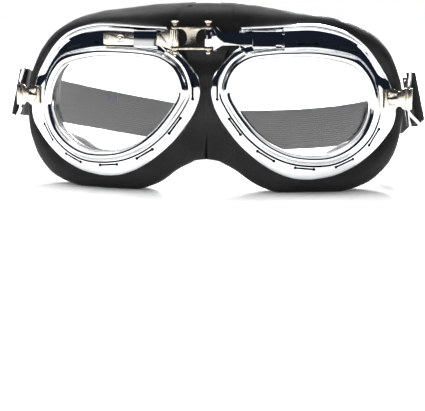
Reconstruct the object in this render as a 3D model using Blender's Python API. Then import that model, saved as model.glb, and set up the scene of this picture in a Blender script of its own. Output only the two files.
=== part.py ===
# Vintage-pattern motorcycle goggles: two chromed eyepieces on a soft black mask,
# joined over the nose by a two-pin hinged bridge whose flat arms slide in guide
# loops on the brows, and held by an elastic strap on wire loops.
# Metres, +Z up, front of the goggles towards -Y, wearer's left towards +X.
# Origin: bottom centre of the bounding box. Lengths below are in millimetres.
import bpy
import bmesh
import math
import numpy as np
from mathutils import Vector, Matrix

MM = 0.001
# ---------------------------------------------------------------- dimensions
X_SHIFT, Y_SHIFT = 0.0, -57.45      # puts the origin at the box's bottom centre
EYE_X, EYE_Z = 46.5, 42.5        # centre of one eyepiece
EYE_YAW = math.radians(10.0)     # each eyepiece turned outwards
EYE_R = 130.0                    # wrap radius of an eyepiece
GAP = 0.3                        # clearance between neighbouring pieces
FRAME_BACK = -2.4                # back plane of the chromed frame
LENS_T = 1.2
RIM_LAP = 1.6                    # how far the lens rebate reaches under the bead
BEAD_H = 3.6
LIP_H = 4.9                      # height of the brow lip
MASK_SPLIT = 6.5                 # half width of the soft nose bridge
PIN_R, PIN_X_L, PIN_X_R, PIN_Y = 0.8, -14.0, 2.0, -4.2
HW_Z = 75.6                      # mid height of the bridge hardware
KN_RO, KN_RI = 1.9, 1.1          # knuckle outer and inner radius
ARM_T, ARM_H = 1.0, 5.8
GUIDE_X, GUIDE_W, GUIDE_H, GUIDE_T = 28.6, 11.2, 8.0, 0.8
RIVET_U, RIVET_V = 45.0, 3.5
BRACKET_REACH = 9.5
LOOP_REACH, LOOP_YAW = 14.0, math.radians(72.0)
WIRE_R = 0.8
STRAP_W, STRAP_T = 24.0, 1.4
STRAP_BACK_Y, STRAP_Z0, STRAP_Z1 = 121.0, 46.0, 15.4
STRAP_N = 2.4                    # superellipse exponent of the strap's plan
STRAP_LEAN = math.radians(13.0)
TAIL_LEN = 32.0
SLIDER_Y = 25.0

# control points of the lens aperture and of the frame's outer edge (u, v)
APERTURE = [(33.8, 0.2), (32.8, 8.3), (28.6, 15.7), (22.3, 20.4), (8.0, 23.5),
            (-4.4, 23.9), (-16.0, 23.4), (-24.5, 21.8), (-31.0, 16.8),
            (-33.8, 7.9), (-30.9, 0.6), (-24.1, -8.7), (-18.2, -14.3),
            (-12.4, -18.1), (-5.1, -21.1), (3.0, -22.4), (12.1, -22.3),
            (18.9, -20.4), (25.1, -16.7), (30.0, -11.6), (32.8, -5.6)]
EDGE = [(-29.6, 38.7), (-17.6, 39.3), (-4.4, 40.1), (4.8, 40.3), (12.1, 39.2),
        (18.9, 37.3), (25.1, 34.3), (31.4, 29.6), (36.3, 24.2), (40.7, 18.0),
        (44.2, 12.0), (46.9, 6.0), (48.6, -1.6), (47.3, -9.6), (42.9, -16.1),
        (37.4, -22.0), (29.3, -28.2), (18.9, -33.0), (8.8, -35.0), (2.1, -35.2),
        (-4.4, -34.3), (-12.4, -31.3), (-20.8, -25.9), (-29.3, -18.4),
        (-35.8, -10.7), (-40.3, -3.5), (-42.7, 3.0), (-43.3, 8.3),
        (-42.6, 13.9), (-39.6, 19.2), (-35.4, 24.2), (-32.6, 27.0), (-29.6, 28.6)]
# outer outline of one half of the mask (x, z), nose notch to top centre
MASK = [(6.5, 15.2), (15.0, 10.5), (24.5, 4.0), (40.0, -0.9), (53.0, -1.6),
        (66.0, -0.2), (80.0, 4.4), (90.5, 14.0), (95.0, 27.0), (96.0, 42.0),
        (94.8, 54.0), (90.0, 65.5), (80.5, 76.5), (67.5, 84.2), (51.0, 88.2),
        (30.8, 90.6), (15.0, 91.9), (6.5, 92.2)]


# ------------------------------------------------------------------- helpers
def catmull(pts, per, closed):
    """Points of a centripetal-like Catmull-Rom curve through pts."""
    p = [np.array(q, float) for q in pts]
    n = len(p)
    out = []
    last = n if closed else n - 1
    for i in range(last):
        if closed:
            a, b, c, d = p[i - 1], p[i], p[(i + 1) % n], p[(i + 2) % n]
        else:
            b, c = p[i], p[i + 1]
            a = p[i - 1] if i else 2 * b - c
            d = p[i + 2] if i + 2 < n else 2 * c - b
        for k in range(per):
            t = k / per
            out.append(0.5 * (2 * b + (c - a) * t + (2 * a - 5 * b + 4 * c - d) * t * t
                              + (3 * b - a - 3 * c + d) * t ** 3))
    if not closed:
        out.append(p[-1])
    return np.array(out)


class Polar:
    """Radius of an outline as a function of the angle about the origin."""

    def __init__(self, pts):
        ang = np.unwrap(np.arctan2(pts[:, 1], pts[:, 0]))
        rad = np.hypot(pts[:, 0], pts[:, 1])
        if ang[-1] < ang[0]:
            ang, rad = ang[::-1], rad[::-1]
        keep = np.concatenate([[True], np.diff(ang) > 1e-6])
        ang, rad = ang[keep], rad[keep]
        self.a = np.concatenate([ang - 2 * math.pi, ang, ang + 2 * math.pi])
        self.r = np.concatenate([rad, rad, rad])

    def __call__(self, phi):
        while phi < self.a[0]:
            phi += 2 * math.pi
        while phi > self.a[-1]:
            phi -= 2 * math.pi
        return float(np.interp(phi, self.a, self.r))


R_AP = Polar(catmull(APERTURE, 8, True))
R_ED = Polar(catmull(EDGE, 8, False))
PHI_A = math.atan2(EDGE[0][1], EDGE[0][0])       # left end of the brow lip
PHI_B = math.atan2(EDGE[-1][1], EDGE[-1][0])     # where the plain flange starts


def smooth(x, a, b):
    t = min(1.0, max(0.0, (x - a) / (b - a)))
    return t * t * (3 - 2 * t)


def eye(side, u, v, w):
    """A point of an eyepiece: u outwards, v up, w forwards."""
    h = w - u * u / (2 * EYE_R)
    return (side * (EYE_X + u * math.cos(EYE_YAW) + h * math.sin(EYE_YAW)),
            u * math.sin(EYE_YAW) - h * math.cos(EYE_YAW), EYE_Z + v)


def slant(phi):
    """Cosine between the ray at phi and the aperture's normal."""
    e = 0.02
    a, b = R_AP(phi - e), R_AP(phi + e)
    r = R_AP(phi)
    return max(0.72, r / math.hypot(r, (b - a) / (2 * e)))


def brow(phi):
    """Depth factor of the brow channel and height factor of its lip."""
    deg = math.degrees(phi) % 360
    if deg > math.degrees(PHI_B) - 0.01:
        return 0.0, 0.0
    b = smooth(deg, 14.0, 22.0)
    tall = 0.3 + 0.7 * smooth(deg, 32.0, 84.0)
    return b, (b * tall if deg < math.degrees(PHI_A) + 0.01 else 0.0)


def section(phi):
    """Cross-section of the chromed frame at phi: (radius, height) pairs."""
    c = slant(phi)
    ra, rf = R_AP(phi), R_ED(phi)
    b, lip = brow(phi)
    bw = (4.6 + 0.6 * math.cos(phi)) / c
    rb = ra + bw
    sp = rf - rb - 0.8

    def mix(p, q):
        return p + (q - p) * b
    return [(ra + RIM_LAP / c, FRAME_BACK), (ra + RIM_LAP / c, -0.7), (ra, -0.7),
            (ra, 0.9), (ra + 0.15 * bw, 2.7), (ra + 0.5 * bw, BEAD_H),
            (ra + 0.85 * bw, 2.7), (rb, 0.9), (rb + 0.8, mix(0.6, -0.2)),
            (rb + 0.8 + 0.4 * sp, mix(1.5, -0.9)),
            (rb + 0.8 + mix(0.8, 0.86) * sp, mix(1.2, -0.6)),
            (rf - mix(0.7, 1.2), mix(0.7, -0.7) + (LIP_H + 0.3) * lip),
            (rf, mix(-0.4, -1.0) + (LIP_H + 1.0) * lip),
            (rf, FRAME_BACK)], rb


def stations(n):
    """Angles round the frame, spaced by the outer edge, with both lip ends."""
    span = (PHI_A - PHI_B) % (2 * math.pi)
    a = np.linspace(0, span, 2000)
    q = np.array([[R_ED(PHI_A - t) * math.cos(PHI_A - t),
                   R_ED(PHI_A - t) * math.sin(PHI_A - t)] for t in a])
    s = np.concatenate([[0], np.cumsum(np.hypot(*np.diff(q, axis=0).T))])
    ph = [PHI_A - float(np.interp(k, s, a)) for k in np.linspace(0, s[-1], n)]
    return ph + [PHI_B - 0.012, 0.5 * (PHI_A + PHI_B), PHI_A + 0.02]


def rad_pt(side, phi, r, w):
    return eye(side, r * math.cos(phi), r * math.sin(phi), w)


def material(name, rgb, rough, metal, alpha=1.0):
    m = bpy.data.materials.get(name)
    if m is None:
        m = bpy.data.materials.new(name)
        m.use_nodes = True
        b = m.node_tree.nodes["Principled BSDF"]
        b.inputs["Base Color"].default_value = (*rgb, 1)
        b.inputs["Roughness"].default_value = rough
        b.inputs["Metallic"].default_value = metal
        b.inputs["Alpha"].default_value = alpha
        m.diffuse_color = (*rgb, alpha)
    return m


LOOKS = {
    "chrome": ((0.80, 0.81, 0.82), 0.06, 1.0),
    "nickel": ((0.78, 0.72, 0.63), 0.16, 1.0),
    "leather": ((0.018, 0.018, 0.019), 0.5, 0.0),
    "lining": ((0.03, 0.03, 0.032), 0.85, 0.0),
    "rubber": ((0.02, 0.02, 0.02), 0.6, 0.0),
    "lens": ((0.93, 0.95, 0.95), 0.03, 0.0),
    "ring": ((0.05, 0.05, 0.055), 0.4, 0.0),
    "webbing": ((0.014, 0.014, 0.015), 0.8, 0.0),
    "tag": ((0.02, 0.025, 0.06), 0.6, 0.0),
}
PIVOT = {}      # body name -> pivot point in mm
EMPTY = {}


def pivot(body, at, parent=None):
    e = bpy.data.objects.new(body + "_pivot", None)
    e.empty_display_size = 0.01
    bpy.context.collection.objects.link(e)
    PIVOT[body] = np.array(at, float)
    p = PIVOT[body] + np.array([X_SHIFT, Y_SHIFT, 0])
    if parent:
        q = PIVOT[parent] + np.array([X_SHIFT, Y_SHIFT, 0])
        e.parent = EMPTY[parent]
        e.location = Vector((p - q) * MM)
    else:
        e.location = Vector(p * MM)
    EMPTY[body] = e


def build(name, bm, look, body, sharp=35.0, guide=False):
    """Make the object of one piece, on its body's pivot, from a mesh in mm."""
    o = PIVOT[body]
    bmesh.ops.translate(bm, verts=bm.verts, vec=Vector(-o))
    bmesh.ops.scale(bm, verts=bm.verts, vec=Vector((MM, MM, MM)))
    bmesh.ops.remove_doubles(bm, verts=bm.verts, dist=1e-6)
    bmesh.ops.recalc_face_normals(bm, faces=bm.faces)
    me = bpy.data.meshes.new(name)
    bm.to_mesh(me)
    bm.free()
    ob = bpy.data.objects.new(name, me)
    bpy.context.collection.objects.link(ob)
    ob.parent = EMPTY[body]
    if guide:
        ob.hide_render = True
        ob.display_type = "WIRE"
        return ob
    me.shade_smooth()
    me.set_sharp_from_angle(angle=math.radians(sharp))
    rgb, rough, metal = LOOKS[look]
    me.materials.append(material(name + "_mat", rgb, rough, metal,
                                 0.3 if look == "lens" else 1.0))
    return ob


def cut(ob, tool, op="DIFFERENCE"):
    m = ob.modifiers.new(op.lower(), "BOOLEAN")
    m.operation = op
    m.solver = "EXACT"
    m.object = tool


def tube_of_sections(rows, closed_u=True, closed_v=True):
    """Skin a list of equal-length point rows."""
    bm = bmesh.new()
    vs = [[bm.verts.new(p) for p in row] for row in rows]
    n, m = len(vs), len(vs[0])
    for i in range(n if closed_u else n - 1):
        for j in range(m if closed_v else m - 1):
            a, b = vs[i], vs[(i + 1) % n]
            bm.faces.new((a[j], a[(j + 1) % m], b[(j + 1) % m], b[j]))
    if not closed_u:
        bm.faces.new(vs[0])
        bm.faces.new(vs[-1][::-1])
    return bm


def prism(outline, fn, lo, hi):
    """Extrude a flat outline between two levels; fn maps (a, b, c) to a point."""
    bm = bmesh.new()
    lower = [bm.verts.new(fn(a, b, lo)) for a, b in outline]
    upper = [bm.verts.new(fn(a, b, hi)) for a, b in outline]
    n = len(outline)
    bm.faces.new(lower[::-1])
    bm.faces.new(upper)
    for i in range(n):
        j = (i + 1) % n
        bm.faces.new((lower[i], lower[j], upper[j], upper[i]))
    return bm


def round_post(r, fn, lo, hi, n=14, centre=(0.0, 0.0)):
    return prism([(centre[0] + r * math.cos(2 * math.pi * k / n),
                   centre[1] + r * math.sin(2 * math.pi * k / n)) for k in range(n)],
                 fn, lo, hi)


def join(bms):
    out = bmesh.new()
    for b in bms:
        me = bpy.data.meshes.new("tmp")
        b.to_mesh(me)
        out.from_mesh(me)
        b.free()
        bpy.data.meshes.remove(me)
    return out


def lathe(profile, fn, n=14):
    """Turn a closed-to-the-axis profile of (radius, level) pairs."""
    bm = bmesh.new()
    rows = []
    for r, c in profile:
        if r < 1e-6:
            rows.append([bm.verts.new(fn(0, 0, c))])
        else:
            rows.append([bm.verts.new(fn(r * math.cos(2 * math.pi * k / n),
                                         r * math.sin(2 * math.pi * k / n), c))
                         for k in range(n)])
    for a, b in zip(rows, rows[1:]):
        for k in range(n):
            j = (k + 1) % n
            if len(a) == 1:
                bm.faces.new((a[0], b[k], b[j]))
            elif len(b) == 1:
                bm.faces.new((a[k], b[0], a[j]))
            else:
                bm.faces.new((a[k], b[k], b[j], a[j]))
    return bm


# ------------------------------------------------------------ derived places
def local_frame(side, u, v, w):
    """Origin, outward tangent and forward normal of an eyepiece's surface."""
    yaw = EYE_YAW + math.atan(u / EYE_R)
    o = np.array(eye(side, u, v, w))
    t = np.array([side * math.cos(yaw), math.sin(yaw), 0])
    n = np.array([side * math.sin(yaw), -math.cos(yaw), 0])
    return o, t, n


BRACKET = {}
for s in (-1, 1):
    o, t, n = local_frame(s, RIVET_U, RIVET_V, 1.5 + GAP)
    curl = o + t * BRACKET_REACH + n * 0.4
    e = np.array([s * math.cos(LOOP_YAW), math.sin(LOOP_YAW), 0])
    bar = curl + e * LOOP_REACH
    BRACKET[s] = dict(o=o, t=t, n=n, curl=curl, e=e, bar=bar)
BAR = BRACKET[1]["bar"]


def arm_line(side):
    """Pin, direction and forward normal of a slide arm."""
    o, _, _ = local_frame(1, (GUIDE_X - EYE_X) / math.cos(EYE_YAW), 33.0, 0.65)
    px = PIN_X_R if side > 0 else -PIN_X_L
    p = np.array([px * 1.0, PIN_Y, HW_Z])
    d = np.array([o[0], o[1], HW_Z]) - p
    d[2] = 0
    d /= np.linalg.norm(d)
    q = p.copy()
    if side < 0:
        q[0] = -px
    return q, np.array([side * d[0], d[1], 0]), np.array([side * d[1], -d[0], 0])


# ------------------------------------------------------------------- pieces
def make_frame(side, tag):
    rows = []
    for phi in stations(58):
        pts, _ = section(phi)
        rows.append([rad_pt(side, phi, r, w) for r, w in pts])
    ob = build(tag + "_frame", tube_of_sections(rows), "chrome", tag + "_eyepiece", 50)
    slots = []
    for deg in (196, 234, 274, 309, 338, 168, 84, 52):
        phi = math.radians(deg)
        _, rb = section(phi)
        r0 = rb + 1.5
        c = np.array([r0 * math.cos(phi), r0 * math.sin(phi)])
        q = [np.array([(section(phi + k)[1] + 1.5) * math.cos(phi + k),
                       (section(phi + k)[1] + 1.5) * math.sin(phi + k)])
             for k in (-0.12, 0.12)]
        t = (q[1] - q[0]) / np.linalg.norm(q[1] - q[0])
        m = np.array([-t[1], t[0]])
        out = []
        for end in (-1, 1):
            for a in (-115, -60, 0, 60, 115):
                x = end * (4.6 + 0.8 * math.cos(math.radians(a)))
                y = end * 0.8 * math.sin(math.radians(a))
                if abs(a) == 115:
                    y = math.copysign(0.4, y)
                out.append(tuple(c + t * x + m * y))
        slots.append(prism(out, lambda a, b, w: eye(side, a, b, w), -4.0, 6.0))
    cut(ob, build(tag + "_vent_cutter", join(slots), None, tag + "_eyepiece", guide=True))


def make_ring(side, name, look, body, r0, r1, w0, w1, n):
    rows = []
    for phi in [2 * math.pi * k / n for k in range(n)]:
        c = slant(phi)
        ra = R_AP(phi)
        rows.append([rad_pt(side, phi, ra + r0 / c, w0), rad_pt(side, phi, ra + r1 / c, w0),
                     rad_pt(side, phi, ra + r1 / c, w1), rad_pt(side, phi, ra + r0 / c, w1)])
    build(name, tube_of_sections(rows), look, body, 40)


def make_lens(side, tag):
    ph = [2 * math.pi * k / 240 for k in range(240)]
    q = np.array([[(R_AP(p) + 1.2 / slant(p)) * math.cos(p),
                   (R_AP(p) + 1.2 / slant(p)) * math.sin(p)] for p in ph])
    lo, hi = q[:, 0].min(), q[:, 0].max()
    i0, i1 = int(q[:, 0].argmin()), int(q[:, 0].argmax())
    q2 = np.roll(q, -i1, axis=0)
    cutat = (i0 - i1) % len(q)
    top, bot = q2[:cutat + 1], np.vstack([q2[cutat:], q2[:1]])
    top, bot = top[np.argsort(top[:, 0])], bot[np.argsort(bot[:, 0])]
    rows = []
    n = 22
    for k in range(n + 1):
        u = 0.5 * (lo + hi) - 0.5 * (hi - lo) * math.cos(math.pi * (0.04 + 0.92 * k / n))
        a = float(np.interp(u, top[:, 0], top[:, 1]))
        b = float(np.interp(u, bot[:, 0], bot[:, 1]))
        rows.append([eye(side, u, a, -1.0), eye(side, u, b, -1.0),
                     eye(side, u, b, -1.0 - LENS_T), eye(side, u, a, -1.0 - LENS_T)])
    build(tag + "_lens", tube_of_sections(rows, closed_u=False), "lens", tag + "_eyepiece", 40)


def rear_y(x, z):
    return 18.0 + 18.0 * (x / 95.0) ** 2 + 3.0 * (z - 45.0) / 45.0


def mask_outline():
    q = catmull(MASK, 6, False)
    q[:, 1] = np.maximum(q[:, 1], 0.0)
    return q


def ray_hit(q, c, d):
    """Where a ray from c along d leaves the closed outline q."""
    best = None
    for a, b in zip(q, np.roll(q, -1, axis=0)):
        e = b - a
        det = d[0] * -e[1] + e[0] * d[1]
        if abs(det) < 1e-12:
            continue
        f = a - c
        t = (f[0] * -e[1] + e[0] * f[1]) / det
        s = (d[0] * f[1] - d[1] * f[0]) / det
        if t > 0 and -1e-9 <= s <= 1 + 1e-9 and (best is None or t > best):
            best = t
    return best


def make_mask(side, tag):
    q = mask_outline()
    centre = np.array([EYE_X, EYE_Z])
    corners = [math.atan2(p[1] - EYE_Z, (p[0] - EYE_X) / math.cos(EYE_YAW))
               for p in (q[0], q[-1])]
    base = [2 * math.pi * k / 44 for k in range(44)]
    base = [b for b in base if all(abs((b - c + math.pi) % (2 * math.pi) - math.pi) > 0.07
                                   for c in corners)] + [c % (2 * math.pi) for c in corners]
    rows = []
    for phi in sorted(base):
        c = slant(phi)
        ra, rf = R_AP(phi), R_ED(phi)
        d = np.array([math.cos(phi) * math.cos(EYE_YAW), math.sin(phi)])
        d /= np.linalg.norm(d)
        m = centre + d * ray_hit(q, centre, d)
        if abs(m[0] - MASK_SPLIT) < 0.4:
            m[0] = MASK_SPLIT
        rs = min(rf, 46.5)

        def near(r, w):
            p = np.array(eye(1, r * math.cos(phi), r * math.sin(phi), w))
            p[0] = max(p[0], MASK_SPLIT)
            return p

        def far(inset, y):
            p = m - d * inset
            if m[0] < MASK_SPLIT + 0.5 and inset < 4:
                p = np.array([MASK_SPLIT, p[1]])
            return np.array([max(p[0], MASK_SPLIT), y, max(p[1], 0.0)])
        yr = rear_y(m[0], m[1])
        a1 = near(rf - 2.2, FRAME_BACK - GAP)
        a2 = near(rs + 0.2, FRAME_BACK - GAP - 1.6)
        a4 = far(0.0, yr - 12.5)
        a3 = 0.42 * a2 + 0.58 * far(0.0, a2[1])
        a3[1] = a2[1] + 0.30 * (a4[1] - a2[1])
        a5 = far(0.0, yr - 6.0)
        a6 = far(2.2, yr)
        a7 = far(8.2, yr)
        a9 = near(ra + 8.0 / c, FRAME_BACK - GAP - 3.0)
        a8 = 0.5 * (a7 + a9)
        if a9[0] <= MASK_SPLIT + 3.0 or a7[0] < MASK_SPLIT + 3.0:
            a9 = near(ra + 5.2 / c, FRAME_BACK - GAP - 3.05)
            a7 = np.array([min(a9[0], MASK_SPLIT + 3.4), yr, a7[2]])
            a8 = 0.5 * (a7 + a9)
        row = [near(ra + 3.7 / c, FRAME_BACK - GAP), a1, a2, a3, a4, a5, a6, a7, a8, a9,
               near(ra + 3.7 / c, FRAME_BACK - GAP - 3.0)]
        rows.append([(side * p[0], p[1], p[2]) for p in row])
    build("mask_" + tag, tube_of_sections(rows), "leather", tag + "_eyepiece", 60)


def make_roll(side, tag):
    """Soft rolled edge that lies against the face, behind one mask half."""
    q = mask_outline()
    q = q[2:-2]
    rows = []
    step = max(1, len(q) // 34)
    pts = [q[i] for i in range(0, len(q) - 1, step)]
    if np.hypot(*(q[-1] - pts[-1])) > 1.0:
        pts.append(q[-1])
    centre = np.array([EYE_X, EYE_Z])
    path = []
    for p in pts:
        d = centre - p
        d /= np.linalg.norm(d)
        p2 = p + d * 5.0
        p2[0] = max(p2[0], MASK_SPLIT + 1.0)
        path.append(np.array([p2[0], rear_y(p[0], p[1]) + 0.35 + 2.3, p2[1]]))
    for i, p in enumerate(path):
        t = path[min(i + 1, len(path) - 1)] - path[max(i - 1, 0)]
        t /= np.linalg.norm(t)
        y = np.array([0, 1.0, 0])
        a = np.cross(t, y)
        a /= np.linalg.norm(a)
        b = np.cross(a, t)
        rows.append([p + 2.3 * (math.cos(k * math.pi / 3) * a + math.sin(k * math.pi / 3) * b)
                     for k in range(6)])
    rows = [[(side * v[0], v[1], max(v[2], 0.4)) for v in r] for r in rows]
    build("edge_roll_" + tag, tube_of_sections(rows, closed_u=False), "lining",
          tag + "_eyepiece", 80)


def make_nose():
    rows = []
    for x in (-MASK_SPLIT + GAP, -3.2, 0.0, 3.2, MASK_SPLIT - GAP):
        k = 1 - (x / 6.2) ** 2
        zb = 15.2 + 1.4 * k
        row = [(zb, 8.0), (zb + 4, 4.4 + 0.6 * k), (40, 2.9 + 1.0 * k), (62, 2.9 + 1.0 * k),
               (78, 3.4 + 0.6 * k), (85.5, 6.0), (90.5, 10.0), (92.2, 14.0)]
        back = [(89.5, rear_y(0, 89.5)), (78, rear_y(0, 78)), (62, rear_y(0, 62) - 3),
                (40, rear_y(0, 40) - 4), (zb + 3, rear_y(0, 20) - 2), (zb, 12.5)]
        rows.append([(x, y, z) for z, y in row + back])
    build("nose_bridge_pad", tube_of_sections(rows, closed_u=False), "leather", "bridge_link", 60)


def zmap(o, t, n):
    return lambda a, z, c: tuple(np.array([o[0], o[1], 0]) + t * a + n * c + np.array([0, 0, z]))


def make_arm(side, tag):
    p, d, n = arm_line(side)
    fn = zmap(p, d, n)
    h = ARM_H / 2
    z0, z1 = HW_Z - 0.2 - h, HW_Z - 0.2 + h
    if side > 0:
        top = [(1.2, HW_Z + 4.1), (2.4, HW_Z + 4.1), (2.4, HW_Z + 5.5), (4.1, HW_Z + 5.5),
               (6.4, z1), (34.9, z1), (34.9, z1 + 0.35), (36.4, z1 + 0.35)]
        bot = [(36.4, z0 - 0.35), (34.9, z0 - 0.35), (34.9, z0), (6.4, z0),
               (4.1, HW_Z - 5.8), (2.4, HW_Z - 5.8), (2.4, HW_Z - 3.6), (1.2, HW_Z - 3.6)]
    else:
        top = [(1.2, HW_Z + 4.1), (3.0, HW_Z + 4.1), (8.0, z1), (36.0, z1)]
        bot = [(36.0, z0), (8.0, z0), (4.4, HW_Z - 4.3), (2.4, HW_Z - 5.0),
               (2.4, HW_Z - 3.6), (1.2, HW_Z - 3.6)]
    ob = build(tag + "_slide_arm", prism(top + bot, fn, -ARM_T / 2, ARM_T / 2),
               "nickel" if side < 0 else "chrome", tag + "_arm", 30)
    post = lambda a, b, c: (p[0] + a, p[1] + b, c)
    tools = [("_knuckle_tool", round_post(KN_RO, post, HW_Z - 3.6, HW_Z + 4.1), "UNION")]
    if side > 0:      # forward stop tabs at the free end
        for i, z in enumerate((z0 - 0.35, z1 - 0.65)):
            tools.append(("_tab_tool%d" % i,
                          prism([(35.2, z), (36.35, z), (36.35, z + 1.0), (35.2, z + 1.0)],
                                fn, -0.2, 2.0), "UNION"))
    else:             # punched stop dimple near the free end
        tools.append(("_dimple_tool",
                      lathe([(0, 0.2), (1.7, 0.2), (1.7, 0.6), (1.2, 1.2), (0, 1.4)],
                            lambda a, b, c: fn(27.4 + a, HW_Z - 0.2 + b, c), 12), "UNION"))
    tools.append(("_bore_tool", round_post(KN_RI, post, HW_Z - 8, HW_Z + 8, 12), "DIFFERENCE"))
    for nm, bm, op in tools:
        cut(ob, build(tag + nm, bm, None, tag + "_arm", guide=True), op)


def make_guide(side, tag):
    p, d, n = arm_line(side)
    a0 = (GUIDE_X - abs(p[0]) * (1 if side > 0 else 1)) / d[0] * side if side > 0 else \
        (GUIDE_X - abs(PIN_X_L)) / -d[0]
    a0 = abs(a0)
    fn = zmap(p, d, n)
    zc = HW_Z - 0.2
    h, hi = GUIDE_H / 2, GUIDE_H / 2 - GUIDE_T
    c0, c1, c2 = -0.35, ARM_T / 2 + GAP, ARM_T / 2 + GAP + GUIDE_T
    out = [(zc - h, c0), (zc - h, c2 - 0.3), (zc - h + 0.3, c2), (zc + h - 0.3, c2),
           (zc + h, c2 - 0.3), (zc + h, c0), (zc + hi, c0), (zc + hi, c1), (zc - hi, c1),
           (zc - hi, c0)]
    rows = [[fn(a0 + k * GUIDE_W / 2, z, c) for z, c in out] for k in (-1, 1)]
    build(tag + "_guide_loop", tube_of_sections(rows, closed_u=False), "chrome",
          tag + "_eyepiece", 30)


def make_link():
    lo, hi = PIN_X_L + 2.5, PIN_X_R - 2.5
    zt0, zt1 = HW_Z + 4.6, HW_Z + 5.8       # top bar
    zb0, zb1 = HW_Z - 5.3, HW_Z - 3.95      # bottom bar
    mid, waist = 0.5 * (lo + hi), 2.1
    rise = 0.5 * (zt0 - zb1)
    zc = 0.5 * (zt0 + zb1)
    deep = (hi - lo) / 2 - waist

    def arc(sgn):
        out = []
        for k in range(9):
            a = math.pi * (k / 8) - math.pi / 2
            out.append((mid + sgn * (waist + deep * (1 - math.cos(a)) * 1.0), zc + rise * math.sin(a)))
        return out
    right = arc(1)
    left = arc(-1)[::-1]
    outline = ([(PIN_X_L, zb0), (PIN_X_R, zb0), (PIN_X_R, zb1)] + [(hi, zb1)] + right[1:-1]
               + [(hi, zt0), (PIN_X_R, zt0), (PIN_X_R, zt1), (PIN_X_L, zt1), (PIN_X_L, zt0),
                  (lo, zt0)] + left[1:-1] + [(lo, zb1), (PIN_X_L, zb1)])
    fn = lambda a, b, c: (a, PIN_Y - c, b)
    ob = build("bridge_link", prism(outline, fn, -0.45, 0.45), "chrome", "bridge_link", 30)
    i = 0
    for px in (PIN_X_L, PIN_X_R):
        post = lambda a, b, c, px=px: (px + a, PIN_Y + b, c)
        for z0, z1 in ((zb0, zb1), (zt0, zt1)):
            cut(ob, build("link_knuckle_tool%d" % i, round_post(KN_RO, post, z0, z1), None,
                          "bridge_link", guide=True), "UNION")
            i += 1
    for px in (PIN_X_L, PIN_X_R):
        post = lambda a, b, c, px=px: (px + a, PIN_Y + b, c)
        cut(ob, build("link_bore_tool%d" % i, round_post(KN_RI, post, HW_Z - 9, HW_Z + 9, 12),
                      None, "bridge_link", guide=True))
        i += 1


def make_pin(px, tag):
    prof = [(0, HW_Z - 7.4), (1.0, HW_Z - 7.4), (1.15, HW_Z - 6.9), (1.1, HW_Z - 5.8),
            (PIN_R, HW_Z - 5.7), (PIN_R, HW_Z + 6.2), (1.2, HW_Z + 6.5), (2.1, HW_Z + 7.8),
            (2.1, HW_Z + 8.3), (0, HW_Z + 8.3)]
    build(tag + "_hinge_pin", lathe(prof, lambda a, b, c: (px + a, PIN_Y + b, c), 12), "nickel",
          "bridge_link", 40)


def make_bracket(side, tag):
    g = BRACKET[side]
    fn = lambda a, b, c: tuple(g["o"] + g["t"] * a + g["n"] * c + np.array([0, 0, b]))
    out = [(-3.6, -4.6), (-3.6, 4.6), (2.2, 4.9), (3.4, 3.6), (5.2, 3.6), (6.6, 5.2), (8.6, 5.2),
           (8.6, -5.2), (6.6, -5.2), (5.2, -3.6), (3.4, -3.6), (2.2, -4.9)]
    ob = build(tag + "_side_bracket", prism(out, fn, 0.0, 0.8), "nickel", tag + "_bracket", 30)
    curl = lambda a, b, c: tuple(g["curl"] + np.array([a, b, c]))
    cut(ob, build(tag + "_curl_tool", round_post(KN_RO, curl, -5.2, 5.2), None,
                  tag + "_bracket", guide=True), "UNION")
    cut(ob, build(tag + "_curl_bore", round_post(KN_RI, curl, -8, 8, 12), None,
                  tag + "_bracket", guide=True))
    cut(ob, build(tag + "_rivet_bore", round_post(1.5, fn, -3, 4, 12), None,
                  tag + "_bracket", guide=True))
    dome = [(0, -0.2), (1.15, -0.2), (1.15, 1.1), (2.5, 1.1), (2.45, 1.5), (2.0, 2.2),
            (1.2, 2.65), (0, 2.8)]
    build(tag + "_bracket_rivet", lathe(dome, fn, 14), "nickel", tag + "_eyepiece", 40)


def shear(side, p, lean):
    """Lean of the strap and of the loop's far bar: lower edge outwards."""
    return (p[0] - side * (p[2] - STRAP_Z0) * math.tan(lean), p[1], p[2])


def make_loop(side, tag):
    g = BRACKET[side]
    hn, hf = 6.3, 14.3
    flat = [(0, -hn + 1.2), (0, hn - 1.2), (0.5, hn - 0.3), (1.4, hn + 0.6),
            (LOOP_REACH - 1.6, hf - 0.7), (LOOP_REACH - 0.5, hf - 0.5), (LOOP_REACH, hf - 1.4),
            (LOOP_REACH, 0), (LOOP_REACH, -hf + 1.4), (LOOP_REACH - 0.5, -hf + 0.5),
            (LOOP_REACH - 1.6, -hf + 0.7), (1.4, -hn - 0.6), (0.5, -hn + 0.3)]
    path = []
    for a, z in flat:
        p = g["curl"] + g["e"] * a + np.array([0, 0, z])
        path.append(np.array(shear(side, p, STRAP_LEAN * a / LOOP_REACH)))
    nrm = np.cross(g["e"], [0, 0, 1.0])
    rows = []
    n = len(path)
    for i, p in enumerate(path):
        t1 = p - path[i - 1]
        t2 = path[(i + 1) % n] - p
        t = t1 / np.linalg.norm(t1) + t2 / np.linalg.norm(t2)
        t /= np.linalg.norm(t)
        a = nrm - t * (nrm @ t)
        a /= np.linalg.norm(a)
        b = np.cross(t, a)
        half = math.sqrt(max(0.25, (1 + (t1 @ t2) / np.linalg.norm(t1) / np.linalg.norm(t2)) / 2))
        rows.append([p + WIRE_R * (math.cos(k * math.pi / 4) * a
                                   + math.sin(k * math.pi / 4) * b / half) for k in range(8)])
    build(tag + "_wire_loop", tube_of_sections(rows), "chrome", tag + "_loop", 60)


FOLD_R = WIRE_R + GAP + STRAP_T / 2


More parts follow.
